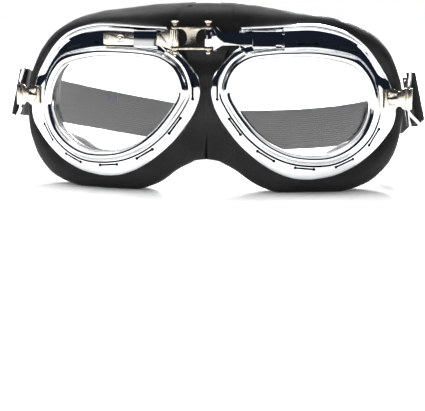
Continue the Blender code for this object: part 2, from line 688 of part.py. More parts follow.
def strap_path():
    """Plan of the right half: tail end, fold round the bar, then to the back centre.

    Each station: point (x, y), outward normal, sheet normal and arc fraction."""
    bx, by = BAR[0], BAR[1]
    a, b = bx + FOLD_R, STRAP_BACK_Y - by
    n = 34
    th = [(math.pi / 2) * (k / n) for k in range(n + 1)]
    main = [np.array([a * max(0.0, math.cos(t)) ** (2 / STRAP_N),
                      by + b * math.sin(t) ** (2 / STRAP_N)]) for t in th]
    main[-1] = np.array([0.0, by + b])
    main[0] = np.array([a, by])
    dense = np.array(main)
    nor = []
    for i in range(len(dense)):
        t = dense[min(i + 1, n)] - dense[max(i - 1, 0)]
        t /= np.linalg.norm(t)
        nor.append(np.array([t[1], -t[0]]))
    nor[0], nor[-1] = np.array([1.0, 0]), np.array([0, 1.0])
    frac = [k / n for k in range(n + 1)]
    return dense, nor, frac


def strap_z(f, side):
    """Mid height of the strap; the left half sags more evenly than the right."""
    if side > 0:
        g = max(0.0, 1 - f) ** 1.8
    else:
        g = (math.hypot(1 - f, 0.03) - 0.03) / (math.hypot(1, 0.03) - 0.03)
    return STRAP_Z1 + (STRAP_Z0 - STRAP_Z1) * g


def strap_lean(f):
    return STRAP_LEAN * (1 - f) ** 1.5


DENSE, NORM, FRAC = strap_path()
ARCL = np.concatenate([[0], np.cumsum(np.hypot(*np.diff(DENSE, axis=0).T))])


def on_strap(s, off, dz, side):
    """Point at arc length s behind the bar, off outwards, dz above the centre."""
    x, y = np.interp(s, ARCL, DENSE[:, 0]), np.interp(s, ARCL, DENSE[:, 1])
    nx = np.interp(s, ARCL, [v[0] for v in NORM])
    ny = np.interp(s, ARCL, [v[1] for v in NORM])
    f = float(np.interp(s, ARCL, FRAC))
    k = -dz * math.tan(strap_lean(f)) + off
    return (side * (x + nx * k), y + ny * k, strap_z(f, side) + dz)


def make_strap(side, tag):
    h, t = STRAP_W / 2, STRAP_T / 2
    rows = []

    def station(s, off, sheet):
        # sheet: +1 when the sheet's outer face looks outwards
        return [on_strap(s, off - t * sheet, -h, side), on_strap(s, off + t * sheet, -h, side),
                on_strap(s, off + t * sheet, h, side), on_strap(s, off - t * sheet, h, side)]
    for s in (TAIL_LEN, 25.0, 18.0, 12.0, 7.0, 3.0):
        gap_in = 2 * FOLD_R - (2 * FOLD_R - STRAP_T - 0.5) * smooth(s, 1.0, 16.0)
        rows.append(station(s, -gap_in, -1))
    for k in range(0, 9):          # the turn round the far bar
        a = math.pi + k * math.pi / 8
        row = []
        for r, dz in ((FOLD_R - t, -h), (FOLD_R + t, -h), (FOLD_R + t, h), (FOLD_R - t, h)):
            x = BAR[0] + r * math.cos(a)
            y = BAR[1] + r * math.sin(a)
            row.append(shear(side, (side * x, y, STRAP_Z0 + dz), STRAP_LEAN))
        rows.append(row)
    for i in range(1, len(ARCL)):
        rows.append(station(ARCL[i] - (0.15 if i == len(ARCL) - 1 else 0), 0.0, 1))
    build("strap_" + tag, tube_of_sections(rows, closed_u=False), "webbing", tag + "_loop", 50)


def make_slider():
    """Three-bar ladder slider that holds both layers of the strap's end."""
    s0, half = SLIDER_Y, 6.0
    inn = -(STRAP_T / 2 + 0.5 + STRAP_T + 0.45)
    out = STRAP_T / 2 + 0.5
    h0, h1 = STRAP_W / 2 + 0.45, STRAP_W / 2 + 1.75
    fn = lambda s, z, o: on_strap(s0 + s, o, z, 1)
    ring = []
    ob = build("strap_slider", prism([(-half, -h1), (-half, h1), (half, h1), (half, -h1)],
                                     fn, inn - 1.0, out + 0.8), "chrome", "slider", 30)
    tools = [prism([(-half - 2, -h0), (-half - 2, h0), (half + 2, h0), (half + 2, -h0)],
                   fn, inn, out)]
    for a, b in ((-half + 1.3, -0.7), (0.7, half - 1.3)):
        tools.append(prism([(a, -h0), (a, h0), (b, h0), (b, -h0)], fn, -0.5, out + 4))
    tools.append(prism([(-half + 4.2, -h0), (-half + 4.2, h0), (half + 2, h0), (half + 2, -h0)],
                       fn, inn - 4, -0.5))
    for i, bm in enumerate(tools):
        cut(ob, build("slider_window_tool%d" % i, bm, None, "slider", guide=True))


def make_tag():
    """Blank sewn tag on the inner face of the strap's left half."""
    s0 = 85.0
    fn = lambda s, z, o: on_strap(s0 + s, -o, z, -1)
    build("strap_tag", prism([(-3, 5.5), (-3, 11.4), (3, 11.4), (3, 5.5)], fn,
                             STRAP_T / 2 + 0.3, STRAP_T / 2 + 0.75), "tag", "left_loop", 30)


# ------------------------------------------------------------------ assembly
def main():
    for ob in list(bpy.data.objects):
        bpy.data.objects.remove(ob, do_unlink=True)
    pivot("bridge_link", (0, PIN_Y, HW_Z))
    for side, tag in ((-1, "left"), (1, "right")):
        p, _, _ = arm_line(side)
        pivot(tag + "_arm", p, "bridge_link")
        pivot(tag + "_eyepiece", eye(side, 0, 0, 0), tag + "_arm")
        pivot(tag + "_bracket", BRACKET[side]["o"], tag + "_eyepiece")
        pivot(tag + "_loop", BRACKET[side]["curl"], tag + "_bracket")
    pivot("slider", on_strap(SLIDER_Y, 0, 0, 1), "right_loop")
    for side, tag in ((-1, "left"), (1, "right")):
        make_frame(side, tag)
        make_lens(side, tag)
        make_ring(side, tag + "_lens_gasket", "rubber", tag + "_eyepiece",
                  0.4, 3.0, FRAME_BACK - GAP, FRAME_BACK - GAP - 3.0, 40)
        make_ring(side, tag + "_retainer_ring", "ring", tag + "_eyepiece",
                  0.6, 4.2, FRAME_BACK - 2 * GAP - 3.0, FRAME_BACK - 2 * GAP - 4.2, 40)
        make_mask(side, tag)
        make_roll(side, tag)
        make_arm(side, tag)
        make_guide(side, tag)
        make_bracket(side, tag)
        make_loop(side, tag)
        make_strap(side, tag)
    make_nose()
    make_link()
    make_pin(PIN_X_L, "left")
    make_pin(PIN_X_R, "right")
    make_slider()
    make_tag()


main()
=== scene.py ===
import math
import bpy
import bmesh
import numpy as np
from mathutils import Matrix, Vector, noise
from mathutils.bvhtree import BVHTree


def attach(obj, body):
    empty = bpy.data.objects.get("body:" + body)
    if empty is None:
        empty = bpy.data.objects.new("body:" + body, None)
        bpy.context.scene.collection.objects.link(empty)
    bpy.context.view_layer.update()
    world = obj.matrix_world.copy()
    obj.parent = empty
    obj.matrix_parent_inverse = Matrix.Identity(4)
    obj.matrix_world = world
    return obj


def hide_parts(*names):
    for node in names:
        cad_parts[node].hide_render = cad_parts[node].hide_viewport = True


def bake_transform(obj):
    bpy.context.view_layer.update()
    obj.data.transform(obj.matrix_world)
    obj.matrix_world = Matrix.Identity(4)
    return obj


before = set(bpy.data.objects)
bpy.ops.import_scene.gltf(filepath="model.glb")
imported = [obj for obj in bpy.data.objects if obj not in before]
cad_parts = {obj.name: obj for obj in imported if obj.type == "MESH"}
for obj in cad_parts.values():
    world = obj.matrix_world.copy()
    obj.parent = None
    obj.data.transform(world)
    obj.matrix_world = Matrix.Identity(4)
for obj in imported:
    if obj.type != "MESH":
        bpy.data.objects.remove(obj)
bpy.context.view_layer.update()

MM = 0.001
X_SHIFT, Y_SHIFT = 0.0, -57.45
EYE_X, EYE_Z = 46.5, 42.5
EYE_YAW = math.radians(10.0)
EYE_R = 130.0
GAP = 0.3
FRAME_BACK = -2.4
LENS_T = 1.2
RIM_LAP = 1.6
BEAD_H = 3.6
LIP_H = 4.9
MASK_SPLIT = 6.5
PIN_R, PIN_X_L, PIN_X_R, PIN_Y = 0.8, -14.0, 2.0, -4.2
HW_Z = 75.6
KN_RO, KN_RI = 1.9, 1.1
ARM_T, ARM_H = 1.0, 5.8
GUIDE_X, GUIDE_W, GUIDE_H, GUIDE_T = 28.6, 11.2, 8.0, 0.8
RIVET_U, RIVET_V = 45.0, 3.5
BRACKET_REACH = 9.5
LOOP_REACH, LOOP_YAW = 14.0, math.radians(72.0)
WIRE_R = 0.8
STRAP_W, STRAP_T = 24.0, 1.4
STRAP_BACK_Y, STRAP_Z0, STRAP_Z1 = 121.0, 46.0, 15.4
STRAP_N = 2.4
STRAP_LEAN = math.radians(13.0)
TAIL_LEN = 32.0
SLIDER_Y = 25.0

APERTURE = [(33.8, 0.2), (32.8, 8.3), (28.6, 15.7), (22.3, 20.4), (8.0, 23.5),
            (-4.4, 23.9), (-16.0, 23.4), (-24.5, 21.8), (-31.0, 16.8),
            (-33.8, 7.9), (-30.9, 0.6), (-24.1, -8.7), (-18.2, -14.3),
            (-12.4, -18.1), (-5.1, -21.1), (3.0, -22.4), (12.1, -22.3),
            (18.9, -20.4), (25.1, -16.7), (30.0, -11.6), (32.8, -5.6)]
EDGE = [(-29.6, 38.7), (-17.6, 39.3), (-4.4, 40.1), (4.8, 40.3), (12.1, 39.2),
        (18.9, 37.3), (25.1, 34.3), (31.4, 29.6), (36.3, 24.2), (40.7, 18.0),
        (44.2, 12.0), (46.9, 6.0), (48.6, -1.6), (47.3, -9.6), (42.9, -16.1),
        (37.4, -22.0), (29.3, -28.2), (18.9, -33.0), (8.8, -35.0), (2.1, -35.2),
        (-4.4, -34.3), (-12.4, -31.3), (-20.8, -25.9), (-29.3, -18.4),
        (-35.8, -10.7), (-40.3, -3.5), (-42.7, 3.0), (-43.3, 8.3),
        (-42.6, 13.9), (-39.6, 19.2), (-35.4, 24.2), (-32.6, 27.0), (-29.6, 28.6)]
MASK = [(6.5, 15.2), (15.0, 10.5), (24.5, 4.0), (40.0, -0.9), (53.0, -1.6),
        (66.0, -0.2), (80.0, 4.4), (90.5, 14.0), (95.0, 27.0), (96.0, 42.0),
        (94.8, 54.0), (90.0, 65.5), (80.5, 76.5), (67.5, 84.2), (51.0, 88.2),
        (30.8, 90.6), (15.0, 91.9), (6.5, 92.2)]


# ------------------------------------------------------------------- helpers
def catmull(pts, per, closed):
    p = [np.array(q, float) for q in pts]
    n = len(p)
    out = []
    for i in range(n if closed else n - 1):
        if closed:
            a, b, c, d = p[i - 1], p[i], p[(i + 1) % n], p[(i + 2) % n]
        else:
            b, c = p[i], p[i + 1]
            a = p[i - 1] if i else 2 * b - c
            d = p[i + 2] if i + 2 < n else 2 * c - b
        for k in range(per):
            t = k / per
            out.append(0.5 * (2 * b + (c - a) * t + (2 * a - 5 * b + 4 * c - d) * t * t
                              + (3 * b - a - 3 * c + d) * t ** 3))
    if not closed:
        out.append(p[-1])
    return np.array(out)


def chaikin(pts, times=2, closed=True, cut=0.25):
    p = [np.array(q, float) for q in pts]
    for _ in range(times):
        n = len(p)
        out = [] if closed else [p[0]]
        for i in range(n if closed else n - 1):
            a, b = p[i], p[(i + 1) % n]
            out += [a + (b - a) * cut, b + (a - b) * cut]
        if not closed:
            out.append(p[-1])
        p = out
    return p


def corner_round(pts, r, seg=3, closed=True):
    """Round each corner of a polygon by at most r."""
    p = [np.array(q, float) for q in pts]
    n = len(p)
    out = []
    for i in range(n):
        b = p[i]
        if not closed and i in (0, n - 1):
            out.append(b)
            continue
        a, c = p[i - 1], p[(i + 1) % n]
        la, lc = np.linalg.norm(a - b), np.linalg.norm(c - b)
        k = min(r, 0.42 * la, 0.42 * lc)
        q0, q1 = b + (a - b) / la * k, b + (c - b) / lc * k
        for s in range(seg + 1):
            t = s / seg
            out.append((1 - t) ** 2 * q0 + 2 * t * (1 - t) * b + t * t * q1)
    return out


class Polar:
    def __init__(self, pts):
        ang = np.unwrap(np.arctan2(pts[:, 1], pts[:, 0]))
        rad = np.hypot(pts[:, 0], pts[:, 1])
        if ang[-1] < ang[0]:
            ang, rad = ang[::-1], rad[::-1]
        keep = np.concatenate([[True], np.diff(ang) > 1e-6])
        ang, rad = ang[keep], rad[keep]
        self.a = np.concatenate([ang - 2 * math.pi, ang, ang + 2 * math.pi])
        self.r = np.concatenate([rad, rad, rad])

    def __call__(self, phi):
        while phi < self.a[0]:
            phi += 2 * math.pi
        while phi > self.a[-1]:
            phi -= 2 * math.pi
        return float(np.interp(phi, self.a, self.r))


R_AP = Polar(catmull(APERTURE, 24, True))
R_ED = Polar(catmull(EDGE, 24, False))
PHI_A = math.atan2(EDGE[0][1], EDGE[0][0])
PHI_B = math.atan2(EDGE[-1][1], EDGE[-1][0])


def smooth(x, a, b):
    t = min(1.0, max(0.0, (x - a) / (b - a)))
    return t * t * (3 - 2 * t)


def eye(side, u, v, w):
    h = w - u * u / (2 * EYE_R)
    return (side * (EYE_X + u * math.cos(EYE_YAW) + h * math.sin(EYE_YAW)),
            u * math.sin(EYE_YAW) - h * math.cos(EYE_YAW), EYE_Z + v)


def slant(phi):
    e = 0.05
    a, b = R_AP(phi - e), R_AP(phi + e)
    r = R_AP(phi)
    return max(0.72, r / math.hypot(r, (b - a) / (2 * e)))


def brow(phi):
    deg = math.degrees(phi) % 360
    if deg > math.degrees(PHI_B) - 0.01:
        return 0.0, 0.0
    b = smooth(deg, 14.0, 22.0)
    tall = 0.3 + 0.7 * smooth(deg, 32.0, 84.0)
    return b, (b * tall if deg < math.degrees(PHI_A) + 0.01 else 0.0)


def section(phi):
    c = slant(phi)
    ra, rf = R_AP(phi), R_ED(phi)
    b, lip = brow(phi)
    bw = (4.6 + 0.6 * math.cos(phi)) / c
    rb = ra + bw
    sp = rf - rb - 0.8

    def mix(p, q):
        return p + (q - p) * b
    return [(ra + RIM_LAP / c, FRAME_BACK), (ra + RIM_LAP / c, -0.7), (ra, -0.7),
            (ra, 0.9), (ra + 0.06 * bw, 2.0), (ra + 0.2 * bw, 3.05),
            (ra + 0.5 * bw, BEAD_H + 0.12), (ra + 0.8 * bw, 3.05), (ra + 0.94 * bw, 2.0),
            (rb, mix(1.05, 0.6)), (rb + 0.5, mix(0.8, 0.15)), (rb + 1.1, mix(1.0, 0.1)),
            (rb + 1.8, mix(1.12, -0.05)), (rb + 0.8 + 0.45 * sp, mix(0.82, -0.85)),
            (rb + 0.8 + mix(0.82, 0.86) * sp, mix(0.2, -1.62)),
            (rf - mix(0.55, 1.2), mix(-0.1, -1.5) + (LIP_H + 1.0) * lip),
            (rf - mix(0.15, 0.6), mix(-0.5, -1.3) + (LIP_H + 1.35) * lip),
            (rf, mix(-1.1, -1.6) + (LIP_H + 1.3) * lip),
            (rf, FRAME_BACK)], rb


def stations(n):
    span = (PHI_A - PHI_B) % (2 * math.pi)
    a = np.linspace(0, span, 3000)
    q = np.array([[R_ED(PHI_A - t) * math.cos(PHI_A - t),
                   R_ED(PHI_A - t) * math.sin(PHI_A - t)] for t in a])
    s = np.concatenate([[0], np.cumsum(np.hypot(*np.diff(q, axis=0).T))])
    ph = [PHI_A - float(np.interp(k, s, a)) for k in np.linspace(0, s[-1], n)]
    return ph + [PHI_B - 0.012, 0.75 * PHI_B + 0.25 * PHI_A, 0.5 * (PHI_A + PHI_B),
                 0.25 * PHI_B + 0.75 * PHI_A, PHI_A + 0.02]


# ----------------------------------------------------------------- materials
class Mat:
    """A Principled material with a small procedural node network."""

    def __init__(self, name, rgb, rough, metal=0.0, **fixed):
        self.m = bpy.data.materials.new(name)
        self.m.use_nodes = True
        self.nt = self.m.node_tree
        self.b = self.nt.nodes["Principled BSDF"]
        self.b.inputs["Base Color"].default_value = (*rgb, 1)
        self.b.inputs["Roughness"].default_value = rough
        self.b.inputs["Metallic"].default_value = metal
        for k, v in fixed.items():
            self.b.inputs[k.replace("_", " ")].default_value = v
        self.m.diffuse_color = (*rgb, 1)
        self.normal = None

    def node(self, kind, **props):
        n = self.nt.nodes.new("ShaderNode" + kind)
        for k, v in props.items():
            setattr(n, k, v)
        return n

    def link(self, a, b):
        self.nt.links.new(a, b)

    def vec(self, scale=(1, 1, 1), uv=False):
        t = self.node("TexCoord")
        m = self.node("Mapping")
        m.inputs["Scale"].default_value = scale
        self.link(t.outputs["UV" if uv else "Object"], m.inputs["Vector"])
        return m.outputs["Vector"]

    def noise(self, vec, scale, detail=4.0, rough=0.55, distort=0.0):
        n = self.node("TexNoise")
        n.inputs["Scale"].default_value = scale
        n.inputs["Detail"].default_value = detail
        n.inputs["Roughness"].default_value = rough
        n.inputs["Distortion"].default_value = distort
        self.link(vec, n.inputs["Vector"])
        return n.outputs["Fac"]

    def voronoi(self, vec, scale, feature="DISTANCE_TO_EDGE", out="Distance"):
        n = self.node("TexVoronoi", feature=feature)
        n.inputs["Scale"].default_value = scale
        self.link(vec, n.inputs["Vector"])
        return n.outputs[out]

    def wave(self, vec, scale, axis="X", distort=0.0, detail=0.0, phase=0.0):
        n = self.node("TexWave", wave_type="BANDS", bands_direction=axis)
        n.inputs["Scale"].default_value = scale
        n.inputs["Distortion"].default_value = distort
        n.inputs["Detail"].default_value = detail
        n.inputs["Phase Offset"].default_value = phase
        self.link(vec, n.inputs["Vector"])
        return n.outputs["Fac"]

    def remap(self, fac, a, b, c, d):
        n = self.node("MapRange", clamp=True)
        for k, v in zip(("From Min", "From Max", "To Min", "To Max"), (a, b, c, d)):
            n.inputs[k].default_value = v
        self.link(fac, n.inputs["Value"])
        return n.outputs["Result"]

    def math(self, op, a, b):
        n = self.node("Math", operation=op)
        for i, v in enumerate((a, b)):
            if isinstance(v, (int, float)):
                n.inputs[i].default_value = v
            else:
                self.link(v, n.inputs[i])
        return n.outputs[0]

    def colour(self, fac, c1, c2):
        n = self.node("Mix", data_type="RGBA")
        ins = [s for s in n.inputs if s.type == "RGBA"]
        f = [s for s in n.inputs if s.type == "VALUE"][0]
        self.link(fac, f)
        for s, c in zip(ins, (c1, c2)):
            if isinstance(c, tuple):
                s.default_value = (*c, 1)
            else:
                self.link(c, s)
        return [s for s in n.outputs if s.type == "RGBA"][0]

    def bump(self, height, strength, dist):
        n = self.node("Bump")
        n.inputs["Strength"].default_value = strength
        n.inputs["Distance"].default_value = dist
        self.link(height, n.inputs["Height"])
        if self.normal:
            self.link(self.normal, n.inputs["Normal"])
        self.normal = n.outputs["Normal"]
        self.link(self.normal, self.b.inputs["Normal"])

    def rough(self, sock):
        self.link(sock, self.b.inputs["Roughness"])

    def base(self, sock):
        self.link(sock, self.b.inputs["Base Color"])

    def edges(self, lo, hi):
        g = self.node("NewGeometry")
        return self.remap(g.outputs["Pointiness"], lo, hi, 0, 1)


def mat_chrome(name, rgb=(0.83, 0.84, 0.85), wear=(0.55, 0.54, 0.52)):
    m = Mat(name, rgb, 0.05, 1.0)
    v = m.vec()
    smudge = m.noise(v, 90, 5, 0.6)
    fine = m.noise(m.vec((1, 1, 5)), 900, 3, 0.6)
    r = m.math("ADD", m.remap(smudge, 0.42, 0.75, 0.028, 0.075), m.remap(fine, 0.60, 0.8, 0.0, 0.10))
    m.rough(r)
    spots = m.noise(v, 420, 2, 0.5)
    worn = m.math("MULTIPLY", m.edges(0.53, 0.60), m.remap(spots, 0.5, 0.62, 0.0, 0.8))
    m.base(m.colour(worn, rgb, wear))
    m.bump(m.noise(v, 55, 2, 0.4), 0.10, 0.0012)
    return m.m


def mat_nickel(name, rgb=(0.80, 0.73, 0.63)):
    m = Mat(name, rgb, 0.2, 1.0)
    v = m.vec()
    brush = m.noise(m.vec((1, 1, 14)), 500, 3, 0.6)
    m.rough(m.remap(brush, 0.3, 0.7, 0.13, 0.26))
    tone = m.noise(v, 160, 3, 0.6)
    c = m.colour(m.remap(tone, 0.35, 0.75, 0, 1), rgb, (rgb[0] * 0.86, rgb[1] * 0.83, rgb[2] * 0.78))
    worn = m.math("MULTIPLY", m.edges(0.53, 0.60), m.remap(m.noise(v, 700, 2), 0.45, 0.6, 0, 0.7))
    m.base(m.colour(worn, c, (0.93, 0.90, 0.84)))
    m.bump(brush, 0.12, 0.00006)
    m.bump(m.noise(v, 130, 2, 0.4), 0.10, 0.0006)
    return m.m


def mat_leather():
    m = Mat("leather_black_grain", (0.012, 0.012, 0.0125), 0.45, 0.0, Sheen_Weight=0.035,
            Sheen_Roughness=0.4, Specular_IOR_Level=0.24)
    v = m.vec()
    warp = m.noise(v, 260, 3, 0.5, 0.6)
    cells = m.voronoi(v, 1250)
    fine = m.voronoi(v, 2900)
    tone = m.noise(v, 42, 4, 0.6)
    c = m.colour(m.remap(tone, 0.3, 0.75, 0, 1), (0.0085, 0.0085, 0.009), (0.0165, 0.016, 0.016))
    c2 = m.colour(m.remap(cells, 0.0, 0.12, 1, 0), c, (0.007, 0.007, 0.0075))
    rub = m.math("MULTIPLY", m.edges(0.51, 0.56), m.remap(warp, 0.45, 0.6, 0, 0.5))
    m.base(m.colour(rub, c2, (0.038, 0.037, 0.036)))
    m.rough(m.math("ADD", m.remap(tone, 0.3, 0.8, 0.34, 0.46), m.remap(cells, 0, 0.15, 0.12, 0.0)))
    m.bump(m.remap(cells, 0.0, 0.22, 0, 1), 0.32, 0.00012)
    m.bump(m.remap(fine, 0.0, 0.3, 0, 1), 0.16, 0.00005)
    m.bump(warp, 0.22, 0.0005)
    return m.m


def mat_fabric(name, rgb, light, scale=1100, sheen=0.35):
    m = Mat(name, rgb, 0.85, 0.0, Sheen_Weight=sheen, Sheen_Roughness=0.6, Specular_IOR_Level=0.25)
    v = m.vec()
    w1 = m.wave(v, scale / 6.283 * 3.2, "X", 0.6, 1)
    w2 = m.wave(v, scale / 6.283 * 3.2, "Z", 0.6, 1)
    weave = m.math("MULTIPLY", w1, w2)
    fuzz = m.noise(v, 1800, 4, 0.7)
    tone = m.noise(v, 60, 3)
    c = m.colour(m.remap(m.math("ADD", weave, fuzz), 0.3, 1.2, 0, 1), rgb, light)
    m.base(m.colour(m.remap(tone, 0.4, 0.8, 0, 0.4), c, rgb))
    m.rough(m.remap(fuzz, 0.3, 0.7, 0.78, 0.95))
    m.bump(weave, 0.4, 0.0001)
    m.bump(fuzz, 0.35, 0.0002)
    return m.m


def mat_webbing():
    m = Mat("webbing_ribbed_elastic", (0.014, 0.014, 0.015), 0.75, 0.0, Sheen_Weight=0.05,
            Sheen_Roughness=0.55, Specular_IOR_Level=0.25)
    u = m.vec((1, 1, 1), True)              # u along, v across, both in mm
    rib = m.wave(m.vec((1, 1, 1), True), 2 * math.pi / 20 / 1.2, "Y", phase=math.pi / 2)
    pick = m.wave(u, 0.55, "X", 0.35, 1)
    cross = m.wave(m.vec((1, 0.5, 1), True), 1.3, "DIAGONAL", 0.3, 0)
    fuzz = m.noise(m.vec((0.6, 2.4, 1), True), 3.2, 4, 0.7)
    h = m.math("ADD", m.math("MULTIPLY", pick, 0.55), m.math("MULTIPLY", cross, 0.45))
    c = m.colour(m.remap(m.math("ADD", h, fuzz), 0.45, 1.35, 0, 1), (0.005, 0.005, 0.006),
                 (0.022, 0.022, 0.024))
    # painted shade: dark stripes (0.003) at the ribs' 1.2 mm spacing stand in for the shade in the grooves
    # between the ribs
    m.base(m.colour(m.remap(rib, 0.0, 0.75, 0.92, 0.0), c, (0.003, 0.003, 0.004)))
    m.rough(m.remap(fuzz, 0.3, 0.7, 0.66, 0.86))
    m.bump(h, 0.55, 0.00018)
    m.bump(fuzz, 0.30, 0.00012)
    return m.m


def mat_rubber(name, rgb, r0, r1, scale):
    m = Mat(name, rgb, r0, 0.0, Specular_IOR_Level=0.4)
    v = m.vec()
    n1 = m.noise(v, scale, 4, 0.6)
    dust = m.noise(v, 70, 4, 0.7)
    m.base(m.colour(m.remap(dust, 0.55, 0.8, 0, 0.5), rgb, tuple(3 * c + 0.01 for c in rgb)))
    m.rough(m.remap(n1, 0.3, 0.7, r0, r1))
    m.bump(n1, 0.2, 0.00008)
    return m.m


def mat_lens():
    m = Mat("lens_clear", (0.985, 0.99, 0.988), 0.0, 0.0, Transmission_Weight=1.0, IOR=1.54,
            Specular_IOR_Level=0.5)
    v = m.vec()
    haze = m.noise(v, 34, 4, 0.65)
    scr = m.noise(m.vec((1, 1, 9)), 300, 3, 0.7)
    m.rough(m.math("ADD", m.remap(haze, 0.5, 0.85, 0.0, 0.035), m.remap(scr, 0.66, 0.8, 0.0, 0.05)))
    out = m.nt.nodes["Material Output"]
    lp = m.node("LightPath")
    tr = m.node("BsdfTransparent")
    tr.inputs["Color"].default_value = (0.93, 0.94, 0.94, 1)
    mx = m.node("MixShader")
    m.link(lp.outputs["Is Shadow Ray"], mx.inputs[0])
    m.link(m.b.outputs[0], mx.inputs[1])
    m.link(tr.outputs[0], mx.inputs[2])
    m.link(mx.outputs[0], out.inputs["Surface"])
    return m.m


def mat_thread(name, rgb, light):
    m = Mat(name, rgb, 0.6, 0.0, Sheen_Weight=0.3, Sheen_Roughness=0.5)
    v = m.vec()
    tw = m.wave(v, 900, "DIAGONAL", 1.0, 1)
    m.base(m.colour(tw, rgb, light))
    m.rough(m.remap(m.noise(v, 2500, 2), 0.3, 0.7, 0.5, 0.75))
    m.bump(tw, 0.4, 0.00006)
    return m.m


CHROME = mat_chrome("chrome_mirror_plating")
CHROME2 = mat_chrome("chrome_hardware", (0.80, 0.80, 0.80))
STEEL = mat_chrome("steel_wire_bright", (0.74, 0.74, 0.74))
NICKEL = mat_nickel("nickel_warm_satin")
LEATHER = mat_leather()
LINING = mat_fabric("lining_soft_fabric", (0.055, 0.055, 0.057), (0.12, 0.12, 0.122))
ROLL = mat_fabric("edge_roll_fleece", (0.016, 0.016, 0.017), (0.045, 0.045, 0.047), 800, 0.5)
WEB = mat_webbing()
RUBBER = mat_rubber("gasket_rubber_black", (0.018, 0.018, 0.018), 0.5, 0.68, 900)
PLASTIC = mat_rubber("retainer_plastic_black", (0.03, 0.03, 0.032), 0.32, 0.46, 1500)
LENS = mat_lens()
THREAD = mat_thread("thread_charcoal", (0.028, 0.028, 0.030), (0.075, 0.075, 0.08))
TAG = mat_fabric("tag_navy_satin", (0.002, 0.003, 0.020), (0.006, 0.010, 0.048), 1700, 0.0)
LINK = mat_nickel("nickel_link_plate", (0.46, 0.42, 0.35))


# ------------------------------------------------------------ mesh builders
def finish_mesh(ob, angle=None):
    dg = bpy.context.evaluated_depsgraph_get()
    me = bpy.data.meshes.new_from_object(ob.evaluated_get(dg), depsgraph=dg)
    old = ob.data
    ob.modifiers.clear()
    ob.data = me
    me.name = ob.name
    if old.users == 0:
        bpy.data.meshes.remove(old)


def piece(name, bm, mats, body, nodes=(), bevel=0.0, angle=35.0, cuts=(), joins=(),
          subsurf=0, blend=None, weld=1e-6, seg=2):
    """Turn a bmesh in mm into a finished visible piece on its body."""
    for v in bm.verts:
        v.co = Vector(((v.co.x + X_SHIFT) * MM, (v.co.y + Y_SHIFT) * MM, v.co.z * MM))
    if weld:
        bmesh.ops.remove_doubles(bm, verts=bm.verts, dist=weld)
    bmesh.ops.recalc_face_normals(bm, faces=bm.faces)
    me = bpy.data.meshes.new(name)
    bm.to_mesh(me)
    bm.free()
    ob = bpy.data.objects.new(name, me)
    bpy.context.collection.objects.link(ob)
    tools = []
    for op, tb in [("UNION", b) for b in joins] + [("DIFFERENCE", b) for b in cuts]:
        for v in tb.verts:
            v.co = Vector(((v.co.x + X_SHIFT) * MM, (v.co.y + Y_SHIFT) * MM, v.co.z * MM))
        bmesh.ops.recalc_face_normals(tb, faces=tb.faces)
        tm = bpy.data.meshes.new(name + "_tool")
        tb.to_mesh(tm)
        tb.free()
        to = bpy.data.objects.new(name + "_tool", tm)
        bpy.context.collection.objects.link(to)
        tools.append(to)
        md = ob.modifiers.new(op.lower(), "BOOLEAN")
        md.operation, md.solver, md.object = op, "EXACT", to
    if bevel:
        md = ob.modifiers.new("bevel", "BEVEL")
        md.width, md.segments, md.limit_method = bevel * MM, seg, "ANGLE"
        md.angle_limit = math.radians(30)
        md.harden_normals = False
    if subsurf:
        md = ob.modifiers.new("sub", "SUBSURF")
        md.levels = md.render_levels = subsurf
    if ob.modifiers:
        finish_mesh(ob)
    for t in tools:
        tm = t.data
        bpy.data.objects.remove(t, do_unlink=True)
        bpy.data.meshes.remove(tm)
    ob.data.shade_smooth()
    if angle:
        ob.data.set_sharp_from_angle(angle=math.radians(angle))
    ob.data.materials.clear()
    for m in (mats if isinstance(mats, (list, tuple)) else [mats]):
        ob.data.materials.append(m)
    if blend:
        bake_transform(ob)
    else:
        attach(ob, body)
    if nodes:
        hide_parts(*nodes)
    return ob


def skin(rows, closed_u=True, closed_v=True, uv=None, mat_of=None):
    """Skin equal-length rows of points; uv gives (u, v) in mm for each row and point."""
    bm = bmesh.new()
    vs = [[bm.verts.new(p) for p in row] for row in rows]
    lay = bm.loops.layers.uv.new("UVMap") if uv else None
    n, m = len(vs), len(vs[0])
    for i in range(n if closed_u else n - 1):
        for j in range(m if closed_v else m - 1):
            i2, j2 = (i + 1) % n, (j + 1) % m
            f = bm.faces.new((vs[i][j], vs[i][j2], vs[i2][j2], vs[i2][j]))
            if lay:
                for lp, (a, b) in zip(f.loops, ((i, j), (i, j2), (i2, j2), (i2, j))):
                    lp[lay].uv = uv(a, b)
            if mat_of:
                f.material_index = mat_of(i, j)
    if not closed_u and closed_v:
        for r, ii in ((vs[0], 0), (vs[-1][::-1], n - 1)):
            f = bm.faces.new(r)
            if lay:
                for k, lp in enumerate(f.loops):
                    lp[lay].uv = uv(ii, k if ii == 0 else m - 1 - k)
    return bm


def prism(outline, fn, lo, hi):
    bm = bmesh.new()
    lower = [bm.verts.new(fn(a, b, lo)) for a, b in outline]
    upper = [bm.verts.new(fn(a, b, hi)) for a, b in outline]
    n = len(outline)
    bm.faces.new(lower[::-1])
    bm.faces.new(upper)
    for i in range(n):
        j = (i + 1) % n
        bm.faces.new((lower[i], lower[j], upper[j], upper[i]))
    return bm


def post(r, fn, lo, hi, n=40, centre=(0.0, 0.0)):
    return prism([(centre[0] + r * math.cos(2 * math.pi * k / n),
                   centre[1] + r * math.sin(2 * math.pi * k / n)) for k in range(n)], fn, lo, hi)


def join(bms):
    out = bmesh.new()
    for b in bms:
        me = bpy.data.meshes.new("tmp")
        b.to_mesh(me)
        out.from_mesh(me)
        b.free()
        bpy.data.meshes.remove(me)
    return out


